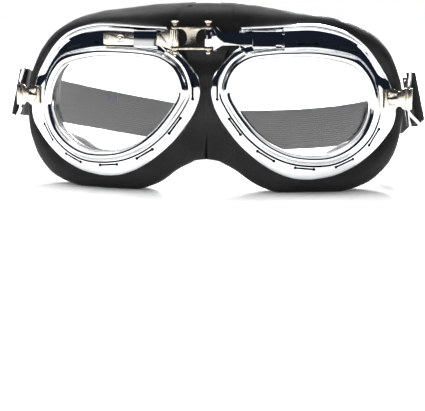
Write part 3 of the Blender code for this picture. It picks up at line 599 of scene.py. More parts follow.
def lathe(profile, fn, n=40):
    bm = bmesh.new()
    rows = []
    for r, c in profile:
        if r < 1e-6:
            rows.append([bm.verts.new(fn(0, 0, c))])
        else:
            rows.append([bm.verts.new(fn(r * math.cos(2 * math.pi * k / n),
                                         r * math.sin(2 * math.pi * k / n), c)) for k in range(n)])
    for a, b in zip(rows, rows[1:]):
        for k in range(n):
            j = (k + 1) % n
            if len(a) == 1:
                bm.faces.new((a[0], b[k], b[j]))
            elif len(b) == 1:
                bm.faces.new((a[k], b[0], a[j]))
            else:
                bm.faces.new((a[k], b[k], b[j], a[j]))
    return bm


def stitches(pairs, r=0.16, arch=0.12, n=6):
    """Short arched threads; each pair is (start, end, outward direction)."""
    bm = bmesh.new()
    for p0, p1, out in pairs:
        p0, p1, out = (np.array(q, float) for q in (p0, p1, out))
        t = p1 - p0
        ln = np.linalg.norm(t)
        t = t / ln
        out = out - t * (out @ t)
        out /= np.linalg.norm(out)
        b = np.cross(t, out)
        rings = []
        for k, rr, h in ((0.0, 0.45, -1.0), (0.14, 0.95, 0.35), (0.5, 1.1, 1.0), (0.86, 0.95, 0.35),
                         (1.0, 0.45, -1.0)):
            c = p0 + t * ln * k + out * arch * h
            rings.append([bm.verts.new(c + rr * r * (math.cos(2 * math.pi * j / n) * out
                                                     + math.sin(2 * math.pi * j / n) * b))
                          for j in range(n)])
        for q0, q1 in zip(rings, rings[1:]):
            for j in range(n):
                bm.faces.new((q0[j], q0[(j + 1) % n], q1[(j + 1) % n], q1[j]))
        bm.faces.new(rings[0][::-1])
        bm.faces.new(rings[-1])
    return bm


def sweep(path, r, n=16, closed=True, squash=None):
    rows = []
    m = len(path)
    up = None
    for i, p in enumerate(path):
        a = path[i - 1] if (closed or i) else p
        b = path[(i + 1) % m] if (closed or i < m - 1) else p
        t = b - a
        t = t / np.linalg.norm(t)
        if up is None:
            up = np.cross(t, [0.3, 0.2, 0.9])
        up = up - t * (up @ t)
        up /= np.linalg.norm(up)
        s = np.cross(t, up)
        rad = r(i) if callable(r) else r
        rows.append([p + rad * (math.cos(2 * math.pi * k / n) * up
                                + math.sin(2 * math.pi * k / n) * s) for k in range(n)])
    return rows


# ------------------------------------------------------------ derived places
def local_frame(side, u, v, w):
    yaw = EYE_YAW + math.atan(u / EYE_R)
    o = np.array(eye(side, u, v, w))
    t = np.array([side * math.cos(yaw), math.sin(yaw), 0])
    n = np.array([side * math.sin(yaw), -math.cos(yaw), 0])
    return o, t, n


BRACKET = {}
for s in (-1, 1):
    o, t, n = local_frame(s, RIVET_U, RIVET_V, 1.5 + GAP)
    curl = o + t * BRACKET_REACH + n * 0.4
    e = np.array([s * math.cos(LOOP_YAW), math.sin(LOOP_YAW), 0])
    BRACKET[s] = dict(o=o, t=t, n=n, curl=curl, e=e, bar=curl + e * LOOP_REACH)
BAR = BRACKET[1]["bar"]


def arm_line(side):
    o, _, _ = local_frame(1, (GUIDE_X - EYE_X) / math.cos(EYE_YAW), 33.0, 0.65)
    px = PIN_X_R if side > 0 else -PIN_X_L
    p = np.array([px * 1.0, PIN_Y, HW_Z])
    d = np.array([o[0], o[1], HW_Z]) - p
    d[2] = 0
    d /= np.linalg.norm(d)
    q = p.copy()
    if side < 0:
        q[0] = -px
    return q, np.array([side * d[0], d[1], 0]), np.array([side * d[1], -d[0], 0])


def zmap(o, t, n):
    return lambda a, z, c: tuple(np.array([o[0], o[1], 0]) + t * a + n * c + np.array([0, 0, z]))


# ------------------------------------------------------------------- pieces
def make_frame(side, tag):
    rows = []
    for phi in stations(250):
        pts, _ = section(phi)
        pts = chaikin(pts, 2)
        rows.append([eye(side, r * math.cos(phi), r * math.sin(phi), w) for r, w in pts])
    slots = []
    for deg in (196, 234, 274, 309, 338, 168, 84, 52):
        phi = math.radians(deg)
        off = 2.35
        r0 = section(phi)[1] + off
        c = np.array([r0 * math.cos(phi), r0 * math.sin(phi)])
        q = [np.array([(section(phi + k)[1] + off) * math.cos(phi + k),
                       (section(phi + k)[1] + off) * math.sin(phi + k)]) for k in (-0.12, 0.12)]
        t = (q[1] - q[0]) / np.linalg.norm(q[1] - q[0])
        m = np.array([-t[1], t[0]])
        out = []
        for end in (-1, 1):
            for a in range(-144, 145, 18):
                x = end * (4.6 + 0.78 * math.cos(math.radians(a)))
                y = end * 0.78 * math.sin(math.radians(a))
                out.append(tuple(c + t * x + m * y))
        slots.append(prism(out, lambda a, b, w: eye(side, a, b, w), -4.0, 6.0))
    piece(tag + "_frame_shell", skin(rows), CHROME, tag + "_eyepiece", (tag + "_frame",),
          cuts=[join(slots)], angle=42)


def ring(side, prof, n=200):
    rows = []
    for phi in [2 * math.pi * k / n for k in range(n)]:
        c, ra = slant(phi), R_AP(phi)
        rows.append([eye(side, (ra + r / c) * math.cos(phi), (ra + r / c) * math.sin(phi), w)
                     for r, w in prof])
    return skin(rows)


def make_seals(side, tag):
    g0, g1 = FRAME_BACK - GAP, FRAME_BACK - GAP - 3.0
    prof = [(0.4, g0), (1.2, g0), (1.5, g0 - 0.25), (1.8, g0), (3.0, g0), (3.0, g0 - 0.9),
            (2.75, g0 - 1.15), (3.0, g0 - 1.4), (3.0, g1), (0.4, g1), (0.4, g0 - 2.0),
            (0.75, g0 - 1.6), (0.4, g0 - 1.2)]
    piece(tag + "_lens_gasket_seal", ring(side, corner_round(prof, 0.22, 2)), RUBBER,
          tag + "_eyepiece", (tag + "_lens_gasket",), angle=60)
    r0, r1 = FRAME_BACK - 2 * GAP - 3.0, FRAME_BACK - 2 * GAP - 4.2
    prof = [(0.6, r0), (4.2, r0), (4.2, r1 + 0.3), (3.9, r1), (2.9, r1), (2.6, r1 + 0.35),
            (2.0, r1 + 0.35), (1.7, r1), (0.9, r1), (0.6, r1 + 0.3)]
    piece(tag + "_retainer_clip_ring", ring(side, corner_round(prof, 0.15, 2)), PLASTIC,
          tag + "_eyepiece", (tag + "_retainer_ring",), angle=50)


def make_lens(side, tag):
    n, rings = 176, 20
    bm = bmesh.new()
    layers = []
    for w, inset in ((-1.0, 0.12), (-1.0 - LENS_T, 0.12)):
        layer = [[bm.verts.new(eye(side, 0, 0, w))]]
        for k in range(1, rings + 1):
            row = []
            for j in range(n):
                phi = 2 * math.pi * j / n
                r = (R_AP(phi) + (1.2 - inset) / slant(phi)) * (k / rings)
                row.append(bm.verts.new(eye(side, r * math.cos(phi), r * math.sin(phi), w)))
            layer.append(row)
        layers.append(layer)
    mid = []
    for w in (-1.12, -2.08):
        row = []
        for j in range(n):
            phi = 2 * math.pi * j / n
            r = R_AP(phi) + 1.2 / slant(phi)
            row.append(bm.verts.new(eye(side, r * math.cos(phi), r * math.sin(phi), w)))
        mid.append(row)
    for layer in layers:
        for j in range(n):
            k = (j + 1) % n
            bm.faces.new((layer[0][0], layer[1][j], layer[1][k]))
            for a, b in zip(layer[1:], layer[2:]):
                bm.faces.new((a[j], b[j], b[k], a[k]))
    chain = [layers[0][-1], mid[0], mid[1], layers[1][-1]]
    for a, b in zip(chain, chain[1:]):
        for j in range(n):
            k = (j + 1) % n
            bm.faces.new((a[j], b[j], b[k], a[k]))
    piece(tag + "_lens_pane", bm, LENS, tag + "_eyepiece", (tag + "_lens",), angle=40)


def rear_y(x, z):
    return 18.0 + 18.0 * (x / 95.0) ** 2 + 3.0 * (z - 45.0) / 45.0


def mask_outline():
    q = catmull(MASK, 16, False)
    q[:, 1] = np.maximum(q[:, 1], 0.0)
    return q


def ray_hit(q, c, d):
    a = q
    e = np.roll(q, -1, axis=0) - q
    det = d[0] * -e[:, 1] + e[:, 0] * d[1]
    ok = np.abs(det) > 1e-12
    det = np.where(ok, det, 1.0)
    f = a - c
    t = (f[:, 0] * -e[:, 1] + e[:, 0] * f[:, 1]) / det
    s = (d[0] * f[:, 1] - d[1] * f[:, 0]) / det
    hit = ok & (t > 0) & (s >= -1e-9) & (s <= 1 + 1e-9)
    return float(t[hit].max())


def mask_rows(n=230, per=6):
    q = mask_outline()
    centre = np.array([EYE_X, EYE_Z])
    corners = [math.atan2(p[1] - EYE_Z, (p[0] - EYE_X) / math.cos(EYE_YAW)) for p in (q[0], q[-1])]
    gap = 0.6 * 2 * math.pi / n
    base = [2 * math.pi * k / n for k in range(n)]
    base = [b for b in base if all(abs((b - c + math.pi) % (2 * math.pi) - math.pi) > gap
                                   for c in corners)] + [c % (2 * math.pi) for c in corners]
    rows, rear = [], []
    for phi in sorted(base):
        c = slant(phi)
        ra, rf = R_AP(phi), R_ED(phi)
        d = np.array([math.cos(phi) * math.cos(EYE_YAW), math.sin(phi)])
        d /= np.linalg.norm(d)
        m = centre + d * ray_hit(q, centre, d)
        if abs(m[0] - MASK_SPLIT) < 0.4:
            m[0] = MASK_SPLIT
        rs = min(rf, 46.5)

        def near(r, w):
            p = np.array(eye(1, r * math.cos(phi), r * math.sin(phi), w))
            p[0] = max(p[0], MASK_SPLIT)
            return p

        def far(inset, y):
            p = m - d * inset
            if m[0] < MASK_SPLIT + 0.5 and inset < 4:
                p = np.array([MASK_SPLIT, p[1]])
            return np.array([max(p[0], MASK_SPLIT), y, max(p[1], 0.0)])
        yr = rear_y(m[0], m[1])
        a1 = near(rf - 2.2, FRAME_BACK - GAP)
        a2 = near(rs + 0.2, FRAME_BACK - GAP - 1.6)
        a4 = far(0.0, yr - 12.5)
        a3 = 0.42 * a2 + 0.58 * far(0.0, a2[1])
        a3[1] = a2[1] + 0.30 * (a4[1] - a2[1])
        a5 = far(0.0, yr - 6.0)
        a6 = far(2.2, yr)
        lip = 8.2 + 5.4 * smooth(m[0], 52, 84) + 8.5 * smooth(30 - m[1], 4, 26) * smooth(m[0], 24, 44)
        a7 = far(lip, yr - 0.6 * smooth(lip, 8.3, 13))
        a9 = near(ra + 8.0 / c, FRAME_BACK - GAP - 3.0)
        k = max(smooth(MASK_SPLIT + 5.0 - a9[0], 0.0, 2.5), smooth(MASK_SPLIT + 5.0 - a7[0], 0.0, 2.5))
        b9 = near(ra + 5.2 / c, FRAME_BACK - GAP - 3.05)
        b7 = np.array([min(b9[0], MASK_SPLIT + 3.4), yr, a7[2]])
        a9, a7 = a9 + (b9 - a9) * k, a7 + (b7 - a7) * k
        a8 = 0.5 * (a7 + a9)
        row = [near(ra + 3.7 / c, FRAME_BACK - GAP), a1, a2, a3, a4, a5, a6, a7, a8, a9,
               near(ra + 3.7 / c, FRAME_BACK - GAP - 3.0)]
        rows.append(catmull(row, per, True))
    rows = np.array(rows)
    pins = [sorted(base).index(c % (2 * math.pi)) for c in corners]
    keep = rows[pins].copy()
    for _ in range(5):
        rows = 0.25 * np.roll(rows, 1, 0) + 0.5 * rows + 0.25 * np.roll(rows, -1, 0)
        rows[pins] = keep
    rows[:, :, 0] = np.maximum(rows[:, :, 0], MASK_SPLIT - 0.05)
    rows[:, :, 2] = np.maximum(rows[:, :, 2], 0.0)
    return rows, per


def crumple(p, seed):
    """Soft unevenness of stuffed leather, in mm."""
    v = Vector((p[0] / 17.0 + seed, p[1] / 14.0, p[2] / 17.0))
    w = Vector((p[0] / 5.5, p[1] / 6.5 + seed, p[2] / 5.5))
    return 0.55 * noise.noise(v) + 0.13 * noise.noise(w)


MASK_ROWS, MASK_PER = mask_rows()


def displaced_mask(side):
    rows = MASK_ROWS.copy()
    n, m, _ = rows.shape
    tj = np.arange(m) / MASK_PER
    du = np.roll(rows, -1, 0) - np.roll(rows, 1, 0)
    dv = np.roll(rows, -1, 1) - np.roll(rows, 1, 1)
    nor = np.cross(du, dv)
    nor /= np.maximum(np.linalg.norm(nor, axis=2, keepdims=True), 1e-9)
    mid = rows.mean(axis=1, keepdims=True)
    flip = np.sign(((rows - mid) * nor).sum(axis=2).mean())
    nor *= flip
    seed = 3.7 if side < 0 else 9.1
    for j in range(m):
        w = smooth(tj[j], 1.4, 2.6) * (1 - smooth(tj[j], 6.2, 7.0))
        ins = smooth(tj[j], 7.0, 7.8) * (1 - smooth(tj[j], 8.8, 9.6))
        if w < 1e-3 and ins < 1e-3:
            continue
        for i in range(n):
            p = rows[i, j]
            k = smooth(p[0], MASK_SPLIT + 1.0, MASK_SPLIT + 8.0)
            rows[i, j] = p + nor[i, j] * crumple(p, seed) * (w * (0.35 + 0.65 * k) + 0.6 * ins * k)
    rows[:, :, 0] = np.maximum(rows[:, :, 0], MASK_SPLIT - 0.05)
    rows[:, :, 2] = np.maximum(rows[:, :, 2], 0.02)
    return rows


MASK_BVH = {}


def make_mask(side, tag):
    rows = displaced_mask(side)
    pts = rows.copy()
    pts[:, :, 0] *= side
    m = pts.shape[1]

    def which(i, j):
        t = (j + 0.5) / MASK_PER
        return 1 if 6.55 < t < 10.0 else 0
    bm = skin(pts, mat_of=which)
    ob = piece("mask_shell_" + tag, bm, [LEATHER, LINING], tag + "_eyepiece", ("mask_" + tag,),
               angle=75)
    verts = [tuple(p) for row in rows for p in row]
    faces = []
    n = len(rows)
    for i in range(n):
        for j in range(m):
            a, b = i * m + j, i * m + (j + 1) % m
            c, d = ((i + 1) % n) * m + (j + 1) % m, ((i + 1) % n) * m + j
            faces.append((a, b, c, d))
    MASK_BVH[side] = BVHTree.FromPolygons(verts, faces)
    # seam stitches where the leather is sewn to the lining, behind the outline
    js = int(5.55 * MASK_PER)
    path = rows[:, js]
    nxt = rows[:, js + 1]
    mid = rows.mean(axis=1)
    seg = np.linalg.norm(np.roll(path, -1, 0) - path, axis=1)
    s = np.concatenate([[0], np.cumsum(seg)])
    clos = np.vstack([path, path[:1]])
    cmid = np.vstack([mid, mid[:1]])
    pairs = []
    k = 0.0
    while k + 2.0 < s[-1]:
        p0 = np.array([np.interp(k, s, clos[:, a]) for a in range(3)])
        p1 = np.array([np.interp(k + 1.9, s, clos[:, a]) for a in range(3)])
        o = 0.5 * (p0 + p1) - np.array([np.interp(k, s, cmid[:, a]) for a in range(3)])
        k += 3.1
        if p0[0] < MASK_SPLIT + 2.0 or p1[0] < MASK_SPLIT + 2.0:
            continue
        o /= np.linalg.norm(o)
        mir = np.array([side, 1, 1])
        pairs.append(((p0 + o * 0.05) * mir, (p1 + o * 0.05) * mir, o * mir))
    piece("mask_seam_thread_" + tag, stitches(pairs, 0.17, 0.10), THREAD, tag + "_eyepiece", (),
          angle=80)


def make_roll(side, tag):
    q = mask_outline()[5:-5]
    centre = np.array([EYE_X, EYE_Z])
    path = []
    for p in q[::2]:
        d = centre - p
        d /= np.linalg.norm(d)
        p2 = p + d * 5.0
        p2[0] = max(p2[0], MASK_SPLIT + 1.0)
        path.append(np.array([p2[0], rear_y(p[0], p[1]) + 0.1 + 2.3, p2[1]]))
    for end, step in ((0, 1), (-1, -1)):
        p = path[end].copy()
        p[0] = MASK_SPLIT + 1.4
        p[1] -= 0.5
        path.insert(0 if step == 1 else len(path), p)
    path = np.array(path)
    for _ in range(6):
        path[1:-1] = 0.25 * path[:-2] + 0.5 * path[1:-1] + 0.25 * path[2:]
    n = len(path)
    s = np.concatenate([[0], np.cumsum(np.linalg.norm(np.diff(path, axis=0), axis=1))])
    u = np.linspace(0, s[-1], 260)
    path = np.array([[np.interp(k, s, path[:, a]) for a in range(3)] for k in u])
    n = len(path)

    def rad(i):
        x = min(i, n - 1 - i) / (n - 1) * s[-1]
        cap = math.sqrt(max(0.0, 1 - (1 - min(1.0, x / 2.2)) ** 2))
        lump = 1 + 0.035 * noise.noise(Vector((u[i] / 7.0, 3.0, side)))
        pinch = 1 - 0.05 * max(0.0, math.cos(2 * math.pi * u[i] / 9.3)) ** 8
        return 2.3 * max(0.12, cap) * lump * pinch
    rows = sweep([p for p in path], rad, 22, closed=False)
    rows = [[(side * v[0], v[1], max(v[2], 0.15)) for v in r] for r in rows]
    ob = piece("edge_roll_cushion_" + tag, skin(rows, closed_u=False), ROLL, tag + "_eyepiece",
               ("edge_roll_" + tag,), angle=75)


def make_nose():
    """Soft bridge between the two mask halves: one leather half each side of a seam."""
    bvh = MASK_BVH[1]
    zs = np.linspace(13.0, 92.8, 120)
    xs = [0.0, 0.12, 0.3, 0.55, 0.9, 1.4, 2.0, 2.8, 3.7, 4.7, 5.7, 6.5, 7.2, 7.9, 8.6, 9.3, 10.0,
          10.6, 11.2]

    px = np.linspace(7.3, 17.3, 21)

    def table(d):
        out = np.full((len(px), len(zs)), np.nan)
        for a, x in enumerate(px):
            for i, z in enumerate(zs):
                h = bvh.ray_cast(Vector((x, -60 if d > 0 else 80, z)), Vector((0, d, 0)))[0]
                if h is not None:
                    out[a, i] = h.y
            ok = ~np.isnan(out[a])
            out[a] = np.interp(zs, zs[ok], out[a][ok])
            for _ in range(6):
                out[a, 1:-1] = 0.25 * out[a, :-2] + 0.5 * out[a, 1:-1] + 0.25 * out[a, 2:]
        return out
    hits = [z for z in zs if bvh.ray_cast(Vector((7.3, -60, z)), Vector((0, 1, 0)))[0] is not None]
    zlo, zhi = hits[0], hits[-1]
    FT, BT = table(1), table(-1)
    # over the brows the bridge keeps the puffed shape the mask has further out
    far_f = FT[14:17].mean(axis=0)

    def look(tab, x, z):
        x = min(max(x, px[0]), px[-1])
        k = (x - px[0]) / (px[1] - px[0])
        i = min(int(k), len(px) - 2)
        u = k - i
        return float((1 - u) * np.interp(z, zs, tab[i]) + u * np.interp(z, zs, tab[i + 1]))

    def front_y(x, z):
        y = look(FT, x, z)
        w = smooth(z, 62, 74) * (1 - smooth(x, 13.0, 15.5))
        return y + (min(y, float(np.interp(z, zs, far_f))) - y) * w
    for side, tag in ((-1, "left"), (1, "right")):
        rows = []
        for x in xs:
            k = 1 - min(1.0, x / 7.5) ** 2
            tuck = smooth(x, 9.0, 11.2)
            z0, z1 = zlo + 1.2 * k + 1.2 * tuck, 92.15 - 0.25 * (x / 11) - 0.9 * tuck
            seam = math.exp(-(x / 0.42) ** 2)
            puff = 0.45 * math.exp(-((x - 2.8) / 2.2) ** 2)
            wide_ = lambda z: x * (1 + 0.42 * smooth(z, 66, 78))
            prof = []
            cnt = 72
            for i in range(cnt):
                z = z0 + (z1 - z0) * i / (cnt - 1)
                y = front_y(wide_(z), z)
                low = 1 - smooth(z, zlo + 1, zlo + 16)
                top = smooth(z, 66, 86)
                y -= puff * (0.2 + 0.8 * low) * (1 - 0.85 * top) + 0.14
                y += seam * (0.10 + 1.9 * low * smooth(z, zlo, zlo + 4)) + 1.3 * tuck
                y += 0.16 * noise.noise(Vector((x / 4.0, z / 8.0, 2.0 + side)))
                prof.append((wide_(z), z, y))
            yb0 = look(BT, x, z0) - 0.8 - 1.2 * tuck
            yb1 = look(BT, wide_(z1), z1) - 0.4 - 1.2 * tuck
            tail = []
            for a in (0.15, 0.35, 0.55, 0.75, 0.9):
                tail.append((wide_(z1), z1 + 0.1 * math.sin(math.pi * a),
                             prof[-1][2] + (yb1 - prof[-1][2]) * a))
            for i in range(26):
                z = z1 - 0.15 - (z1 - z0 - 0.3) * (0.5 - 0.5 * math.cos(math.pi * i / 25))
                yb = look(BT, wide_(z), z) - 0.4 - 1.2 * tuck
                mid = smooth(z, z0 + 4, z0 + 16) * (1 - smooth(z, z1 - 16, z1 - 4))
                tail.append((wide_(z), z, yb - 2.5 * k * mid - 0.6 * seam))
            for a in (0.15, 0.35, 0.55, 0.75, 0.9):
                tail.append((x, z0 - 0.6 * math.sin(math.pi * a) * (1 - tuck),
                             yb0 + (prof[0][2] - yb0) * a))
            rows.append([(side * xx, y, z) for xx, z, y in prof + tail])
        bm = skin(rows, closed_u=False)
        for f in bm.faces:
            if f.calc_center_median().y > 13 and 20 < f.calc_center_median().z < 88:
                f.material_index = 1
        zc = 0.5 * (zlo + zhi) * MM
        ob = piece("nose_bridge_half_" + tag, bm, [LEATHER, LINING], "bridge",
                   ("nose_bridge_pad",), angle=70,
                   blend=("bridge", tag + "_arm", (side * 0.6 * MM, -0.05, zc),
                          (side * 7.0 * MM, -0.05, zc)))


def make_arm(side, tag):
    p, d, n = arm_line(side)
    flat = zmap(p, d, n)
    tilt = 0.10 if side > 0 else 0.0

    def fn(a, z, c):
        return flat(a, z, c - tilt * (z - HW_Z + 2.2) * smooth(a, 2.0, 5.0))
    h = ARM_H / 2
    z0, z1 = HW_Z - 0.2 - h, HW_Z - 0.2 + h
    if side > 0:
        top = [(1.2, HW_Z + 4.1), (2.4, HW_Z + 4.1), (2.4, HW_Z + 5.5), (4.1, HW_Z + 5.5),
               (6.4, z1), (34.9, z1), (34.9, z1 + 0.35), (36.4, z1 + 0.35)]
        bot = [(36.4, z0 - 0.35), (34.9, z0 - 0.35), (34.9, z0), (6.4, z0),
               (4.1, HW_Z - 5.8), (2.4, HW_Z - 5.8), (2.4, HW_Z - 3.6), (1.2, HW_Z - 3.6)]
    else:
        top = [(1.2, HW_Z + 4.1), (3.0, HW_Z + 4.1), (8.0, z1), (36.0, z1)]
        bot = [(36.0, z0), (8.0, z0), (4.4, HW_Z - 4.3), (2.4, HW_Z - 5.0),
               (2.4, HW_Z - 3.6), (1.2, HW_Z - 3.6)]
    outline = [tuple(q) for q in corner_round(top + bot, 0.7, 4)]
    pf = lambda a, b, c: (p[0] + a, p[1] + b, c)
    joins = [post(KN_RO, pf, HW_Z - 3.6, HW_Z + 4.1, 48)]
    cuts = [post(KN_RI, pf, HW_Z - 8, HW_Z + 8, 32)]
    if side > 0:
        for z in (z0 - 0.35, z1 - 0.65):
            joins.append(prism([(35.2, z), (36.35, z), (36.35, z + 1.0), (35.2, z + 1.0)],
                               fn, -0.2, 2.0))
    else:
        joins.append(lathe([(0, 0.2), (2.0, 0.2), (1.95, 0.55), (1.7, 0.85), (1.3, 1.15), (0.9, 1.3),
                            (0.5, 1.25), (0.3, 1.0), (0, 0.95)],
                           lambda a, b, c: fn(27.4 + a, HW_Z - 0.2 + b, c), 32))
    piece(tag + "_slide_arm_plate", prism(outline, fn, -ARM_T / 2, ARM_T / 2),
          NICKEL if side < 0 else CHROME2, tag + "_arm", (tag + "_slide_arm",),
          bevel=0.14, cuts=cuts, joins=joins, angle=30)


def make_guide(side, tag):
    p, d, n = arm_line(side)
    a0 = abs((GUIDE_X - abs(p[0])) / d[0] * side) if side > 0 else abs((GUIDE_X - abs(PIN_X_L)) / -d[0])
    fn = zmap(p, d, n)
    zc = HW_Z - 0.2
    h, hi = GUIDE_H / 2, GUIDE_H / 2 - GUIDE_T
    c0, c1, c2 = -0.35, ARM_T / 2 + GAP, ARM_T / 2 + GAP + GUIDE_T
    out = [(zc - h, c0), (zc - h, c2), (zc + h, c2), (zc + h, c0), (zc + hi, c0), (zc + hi, c1),
           (zc - hi, c1), (zc - hi, c0)]
    prof = corner_round(out, 0.55, 4)
    rows = []
    for k, sc in ((-1, 0.0), (-0.985, 0.06), (-0.96, 0.09), (-0.5, 0.10), (0, 0.10), (0.5, 0.10),
                  (0.96, 0.09), (0.985, 0.06), (1, 0.0)):
        rows.append([fn(a0 + k * GUIDE_W / 2, zc + (z - zc) * (0.985 + 0.15 * sc),
                        c + (sc - 0.1 - 0.085 * (z - zc) if c > c1 + 0.1 else 0)) for z, c in prof])
    piece(tag + "_guide_band", skin(rows, closed_u=False), CHROME2, tag + "_eyepiece",
          (tag + "_guide_loop",), angle=38)


def make_link():
    lo, hi = PIN_X_L + 2.5, PIN_X_R - 2.5
    zt0, zt1 = HW_Z + 4.6, HW_Z + 5.8
    zb0, zb1 = HW_Z - 5.3, HW_Z - 3.95
    mid, waist = 0.5 * (lo + hi), 2.1
    rise, zc = 0.5 * (zt0 - zb1), 0.5 * (zt0 + zb1)
    deep = (hi - lo) / 2 - waist

    def arc(sgn):
        return [(mid + sgn * (waist + deep * (1 - math.cos(math.pi * k / 30 - math.pi / 2))),
                 zc + rise * math.sin(math.pi * k / 30 - math.pi / 2)) for k in range(31)]
    right, left = arc(1), arc(-1)[::-1]
    outline = ([(PIN_X_L, zb0), (PIN_X_R, zb0), (PIN_X_R, zb1), (hi, zb1)] + right[1:-1]
               + [(hi, zt0), (PIN_X_R, zt0), (PIN_X_R, zt1), (PIN_X_L, zt1), (PIN_X_L, zt0),
                  (lo, zt0)] + left[1:-1] + [(lo, zb1), (PIN_X_L, zb1)])
    fn = lambda a, b, c: (a, PIN_Y - c, b)
    joins, cuts = [], []
    for px in (PIN_X_L, PIN_X_R):
        pf = lambda a, b, c, px=px: (px + a, PIN_Y + b, c)
        joins += [post(KN_RO, pf, z0, z1, 48) for z0, z1 in ((zb0, zb1), (zt0, zt1))]
        cuts.append(post(KN_RI, pf, HW_Z - 9, HW_Z + 9, 32))
    piece("bridge_link_plate", prism(outline, fn, -0.45, 0.45), LINK, "bridge", ("bridge_link",),
          bevel=0.12, joins=joins, cuts=cuts, angle=30)


def make_pin(px, tag):
    prof = [(0, HW_Z - 7.4), (0.85, HW_Z - 7.4), (1.05, HW_Z - 7.25), (1.15, HW_Z - 6.9),
            (1.15, HW_Z - 6.1), (1.0, HW_Z - 5.8), (PIN_R, HW_Z - 5.7), (PIN_R, HW_Z + 6.1),
            (1.05, HW_Z + 6.25), (1.15, HW_Z + 6.5), (1.1, HW_Z + 6.8), (1.5, HW_Z + 7.3),
            (2.0, HW_Z + 7.75), (2.1, HW_Z + 7.95), (2.1, HW_Z + 8.15), (1.95, HW_Z + 8.3),
            (1.0, HW_Z + 8.3), (0.8, HW_Z + 8.1), (0.6, HW_Z + 8.05), (0, HW_Z + 8.05)]
    piece(tag + "_hinge_pin_turned", lathe(prof, lambda a, b, c: (px + a, PIN_Y + b, c), 40), NICKEL,
          "bridge", (tag + "_hinge_pin",), angle=40)


def make_bracket(side, tag):
    g = BRACKET[side]
    fn = lambda a, b, c: tuple(g["o"] + g["t"] * a + g["n"] * c + np.array([0, 0, b]))
    out = [(-3.6, -4.6), (-3.6, 4.6), (2.2, 4.9), (3.4, 3.6), (5.2, 3.6), (6.6, 5.2), (8.6, 5.2),
           (8.6, -5.2), (6.6, -5.2), (5.2, -3.6), (3.4, -3.6), (2.2, -4.9)]
    outline = [tuple(q) for q in corner_round(out, 1.0, 5)]
    cf = lambda a, b, c: tuple(g["curl"] + np.array([a, b, c]))
    piece(tag + "_side_bracket_plate", prism(outline, fn, 0.0, 0.8), NICKEL, tag + "_bracket",
          (tag + "_side_bracket",), bevel=0.15, joins=[post(KN_RO, cf, -5.2, 5.2, 48)],
          cuts=[post(KN_RI, cf, -8, 8, 32), post(1.5, fn, -3, 4, 40)], angle=30)
    dome = [(0, -0.2), (1.15, -0.2), (1.15, 0.85), (2.35, 0.87), (2.5, 1.0), (2.52, 1.2),
            (2.42, 1.6), (2.15, 2.05), (1.7, 2.42), (1.1, 2.68), (0.55, 2.79), (0, 2.82)]
    piece(tag + "_bracket_rivet_dome", lathe(dome, fn, 48), NICKEL, tag + "_eyepiece",
          (tag + "_bracket_rivet",), angle=45)


def shear(side, p, lean):
    return (p[0] - side * (p[2] - STRAP_Z0) * math.tan(lean), p[1], p[2])


def make_loop(side, tag):
    g = BRACKET[side]
    hn, hf = 6.3, 14.3
    flat = [(0, -hn + 1.2), (0, -2.0), (0, 2.0), (0, hn - 1.2), (0.5, hn - 0.3), (1.4, hn + 0.6),
            (5.5, hn + 3.0), (9.5, hf - 3.0), (LOOP_REACH - 1.6, hf - 0.7), (LOOP_REACH - 0.5, hf - 0.5),
            (LOOP_REACH, hf - 1.4), (LOOP_REACH, 6), (LOOP_REACH, 0), (LOOP_REACH, -6),
            (LOOP_REACH, -hf + 1.4), (LOOP_REACH - 0.5, -hf + 0.5), (LOOP_REACH - 1.6, -hf + 0.7),
            (9.5, -hf + 3.0), (5.5, -hn - 3.0), (1.4, -hn - 0.6), (0.5, -hn + 0.3)]
    path = []
    for a, z in chaikin(flat, 2):
        p = g["curl"] + g["e"] * a + np.array([0, 0, z])
        path.append(np.array(shear(side, p, STRAP_LEAN * a / LOOP_REACH)))
    piece(tag + "_wire_loop_bent", skin(sweep(path, WIRE_R, 20)), STEEL, tag + "_loop",
          (tag + "_wire_loop",), angle=70)


FOLD_R = WIRE_R + GAP + STRAP_T / 2


def strap_path():
    bx, by = BAR[0], BAR[1]
    a, b = bx + FOLD_R, STRAP_BACK_Y - by
    n = 240
    th = [(math.pi / 2) * (k / n) for k in range(n + 1)]
    main = [np.array([a * max(0.0, math.cos(t)) ** (2 / STRAP_N),
                      by + b * math.sin(t) ** (2 / STRAP_N)]) for t in th]
    main[-1] = np.array([0.0, by + b])
    main[0] = np.array([a, by])
    dense = np.array(main)
    nor = []
    for i in range(len(dense)):
        t = dense[min(i + 1, n)] - dense[max(i - 1, 0)]
        t /= np.linalg.norm(t)
        nor.append(np.array([t[1], -t[0]]))
    nor[0], nor[-1] = np.array([1.0, 0]), np.array([0, 1.0])
    return dense, np.array(nor), [k / n for k in range(n + 1)]


def strap_z(f, side):
    """Mid height of the strap; the left half sags more evenly than the right."""
    if side > 0:
        g = max(0.0, 1 - f) ** 1.8
    else:
        g = (math.hypot(1 - f, 0.03) - 0.03) / (math.hypot(1, 0.03) - 0.03)
    return STRAP_Z1 + (STRAP_Z0 - STRAP_Z1) * g


def strap_lean(f):
    return STRAP_LEAN * (1 - f) ** 1.5


DENSE, NORM, FRAC = strap_path()
ARCL = np.concatenate([[0], np.cumsum(np.hypot(*np.diff(DENSE, axis=0).T))])
STRAP_L = float(ARCL[-1])


def on_strap(s, off, dz, side):
    x, y = np.interp(s, ARCL, DENSE[:, 0]), np.interp(s, ARCL, DENSE[:, 1])
    nx, ny = np.interp(s, ARCL, NORM[:, 0]), np.interp(s, ARCL, NORM[:, 1])
    f = float(np.interp(s, ARCL, FRAC))
    k = -dz * math.tan(strap_lean(f)) + off
    if s > STRAP_L:
        x -= s - STRAP_L
    return (side * (x + nx * k), y + ny * k, strap_z(f, side) + dz)


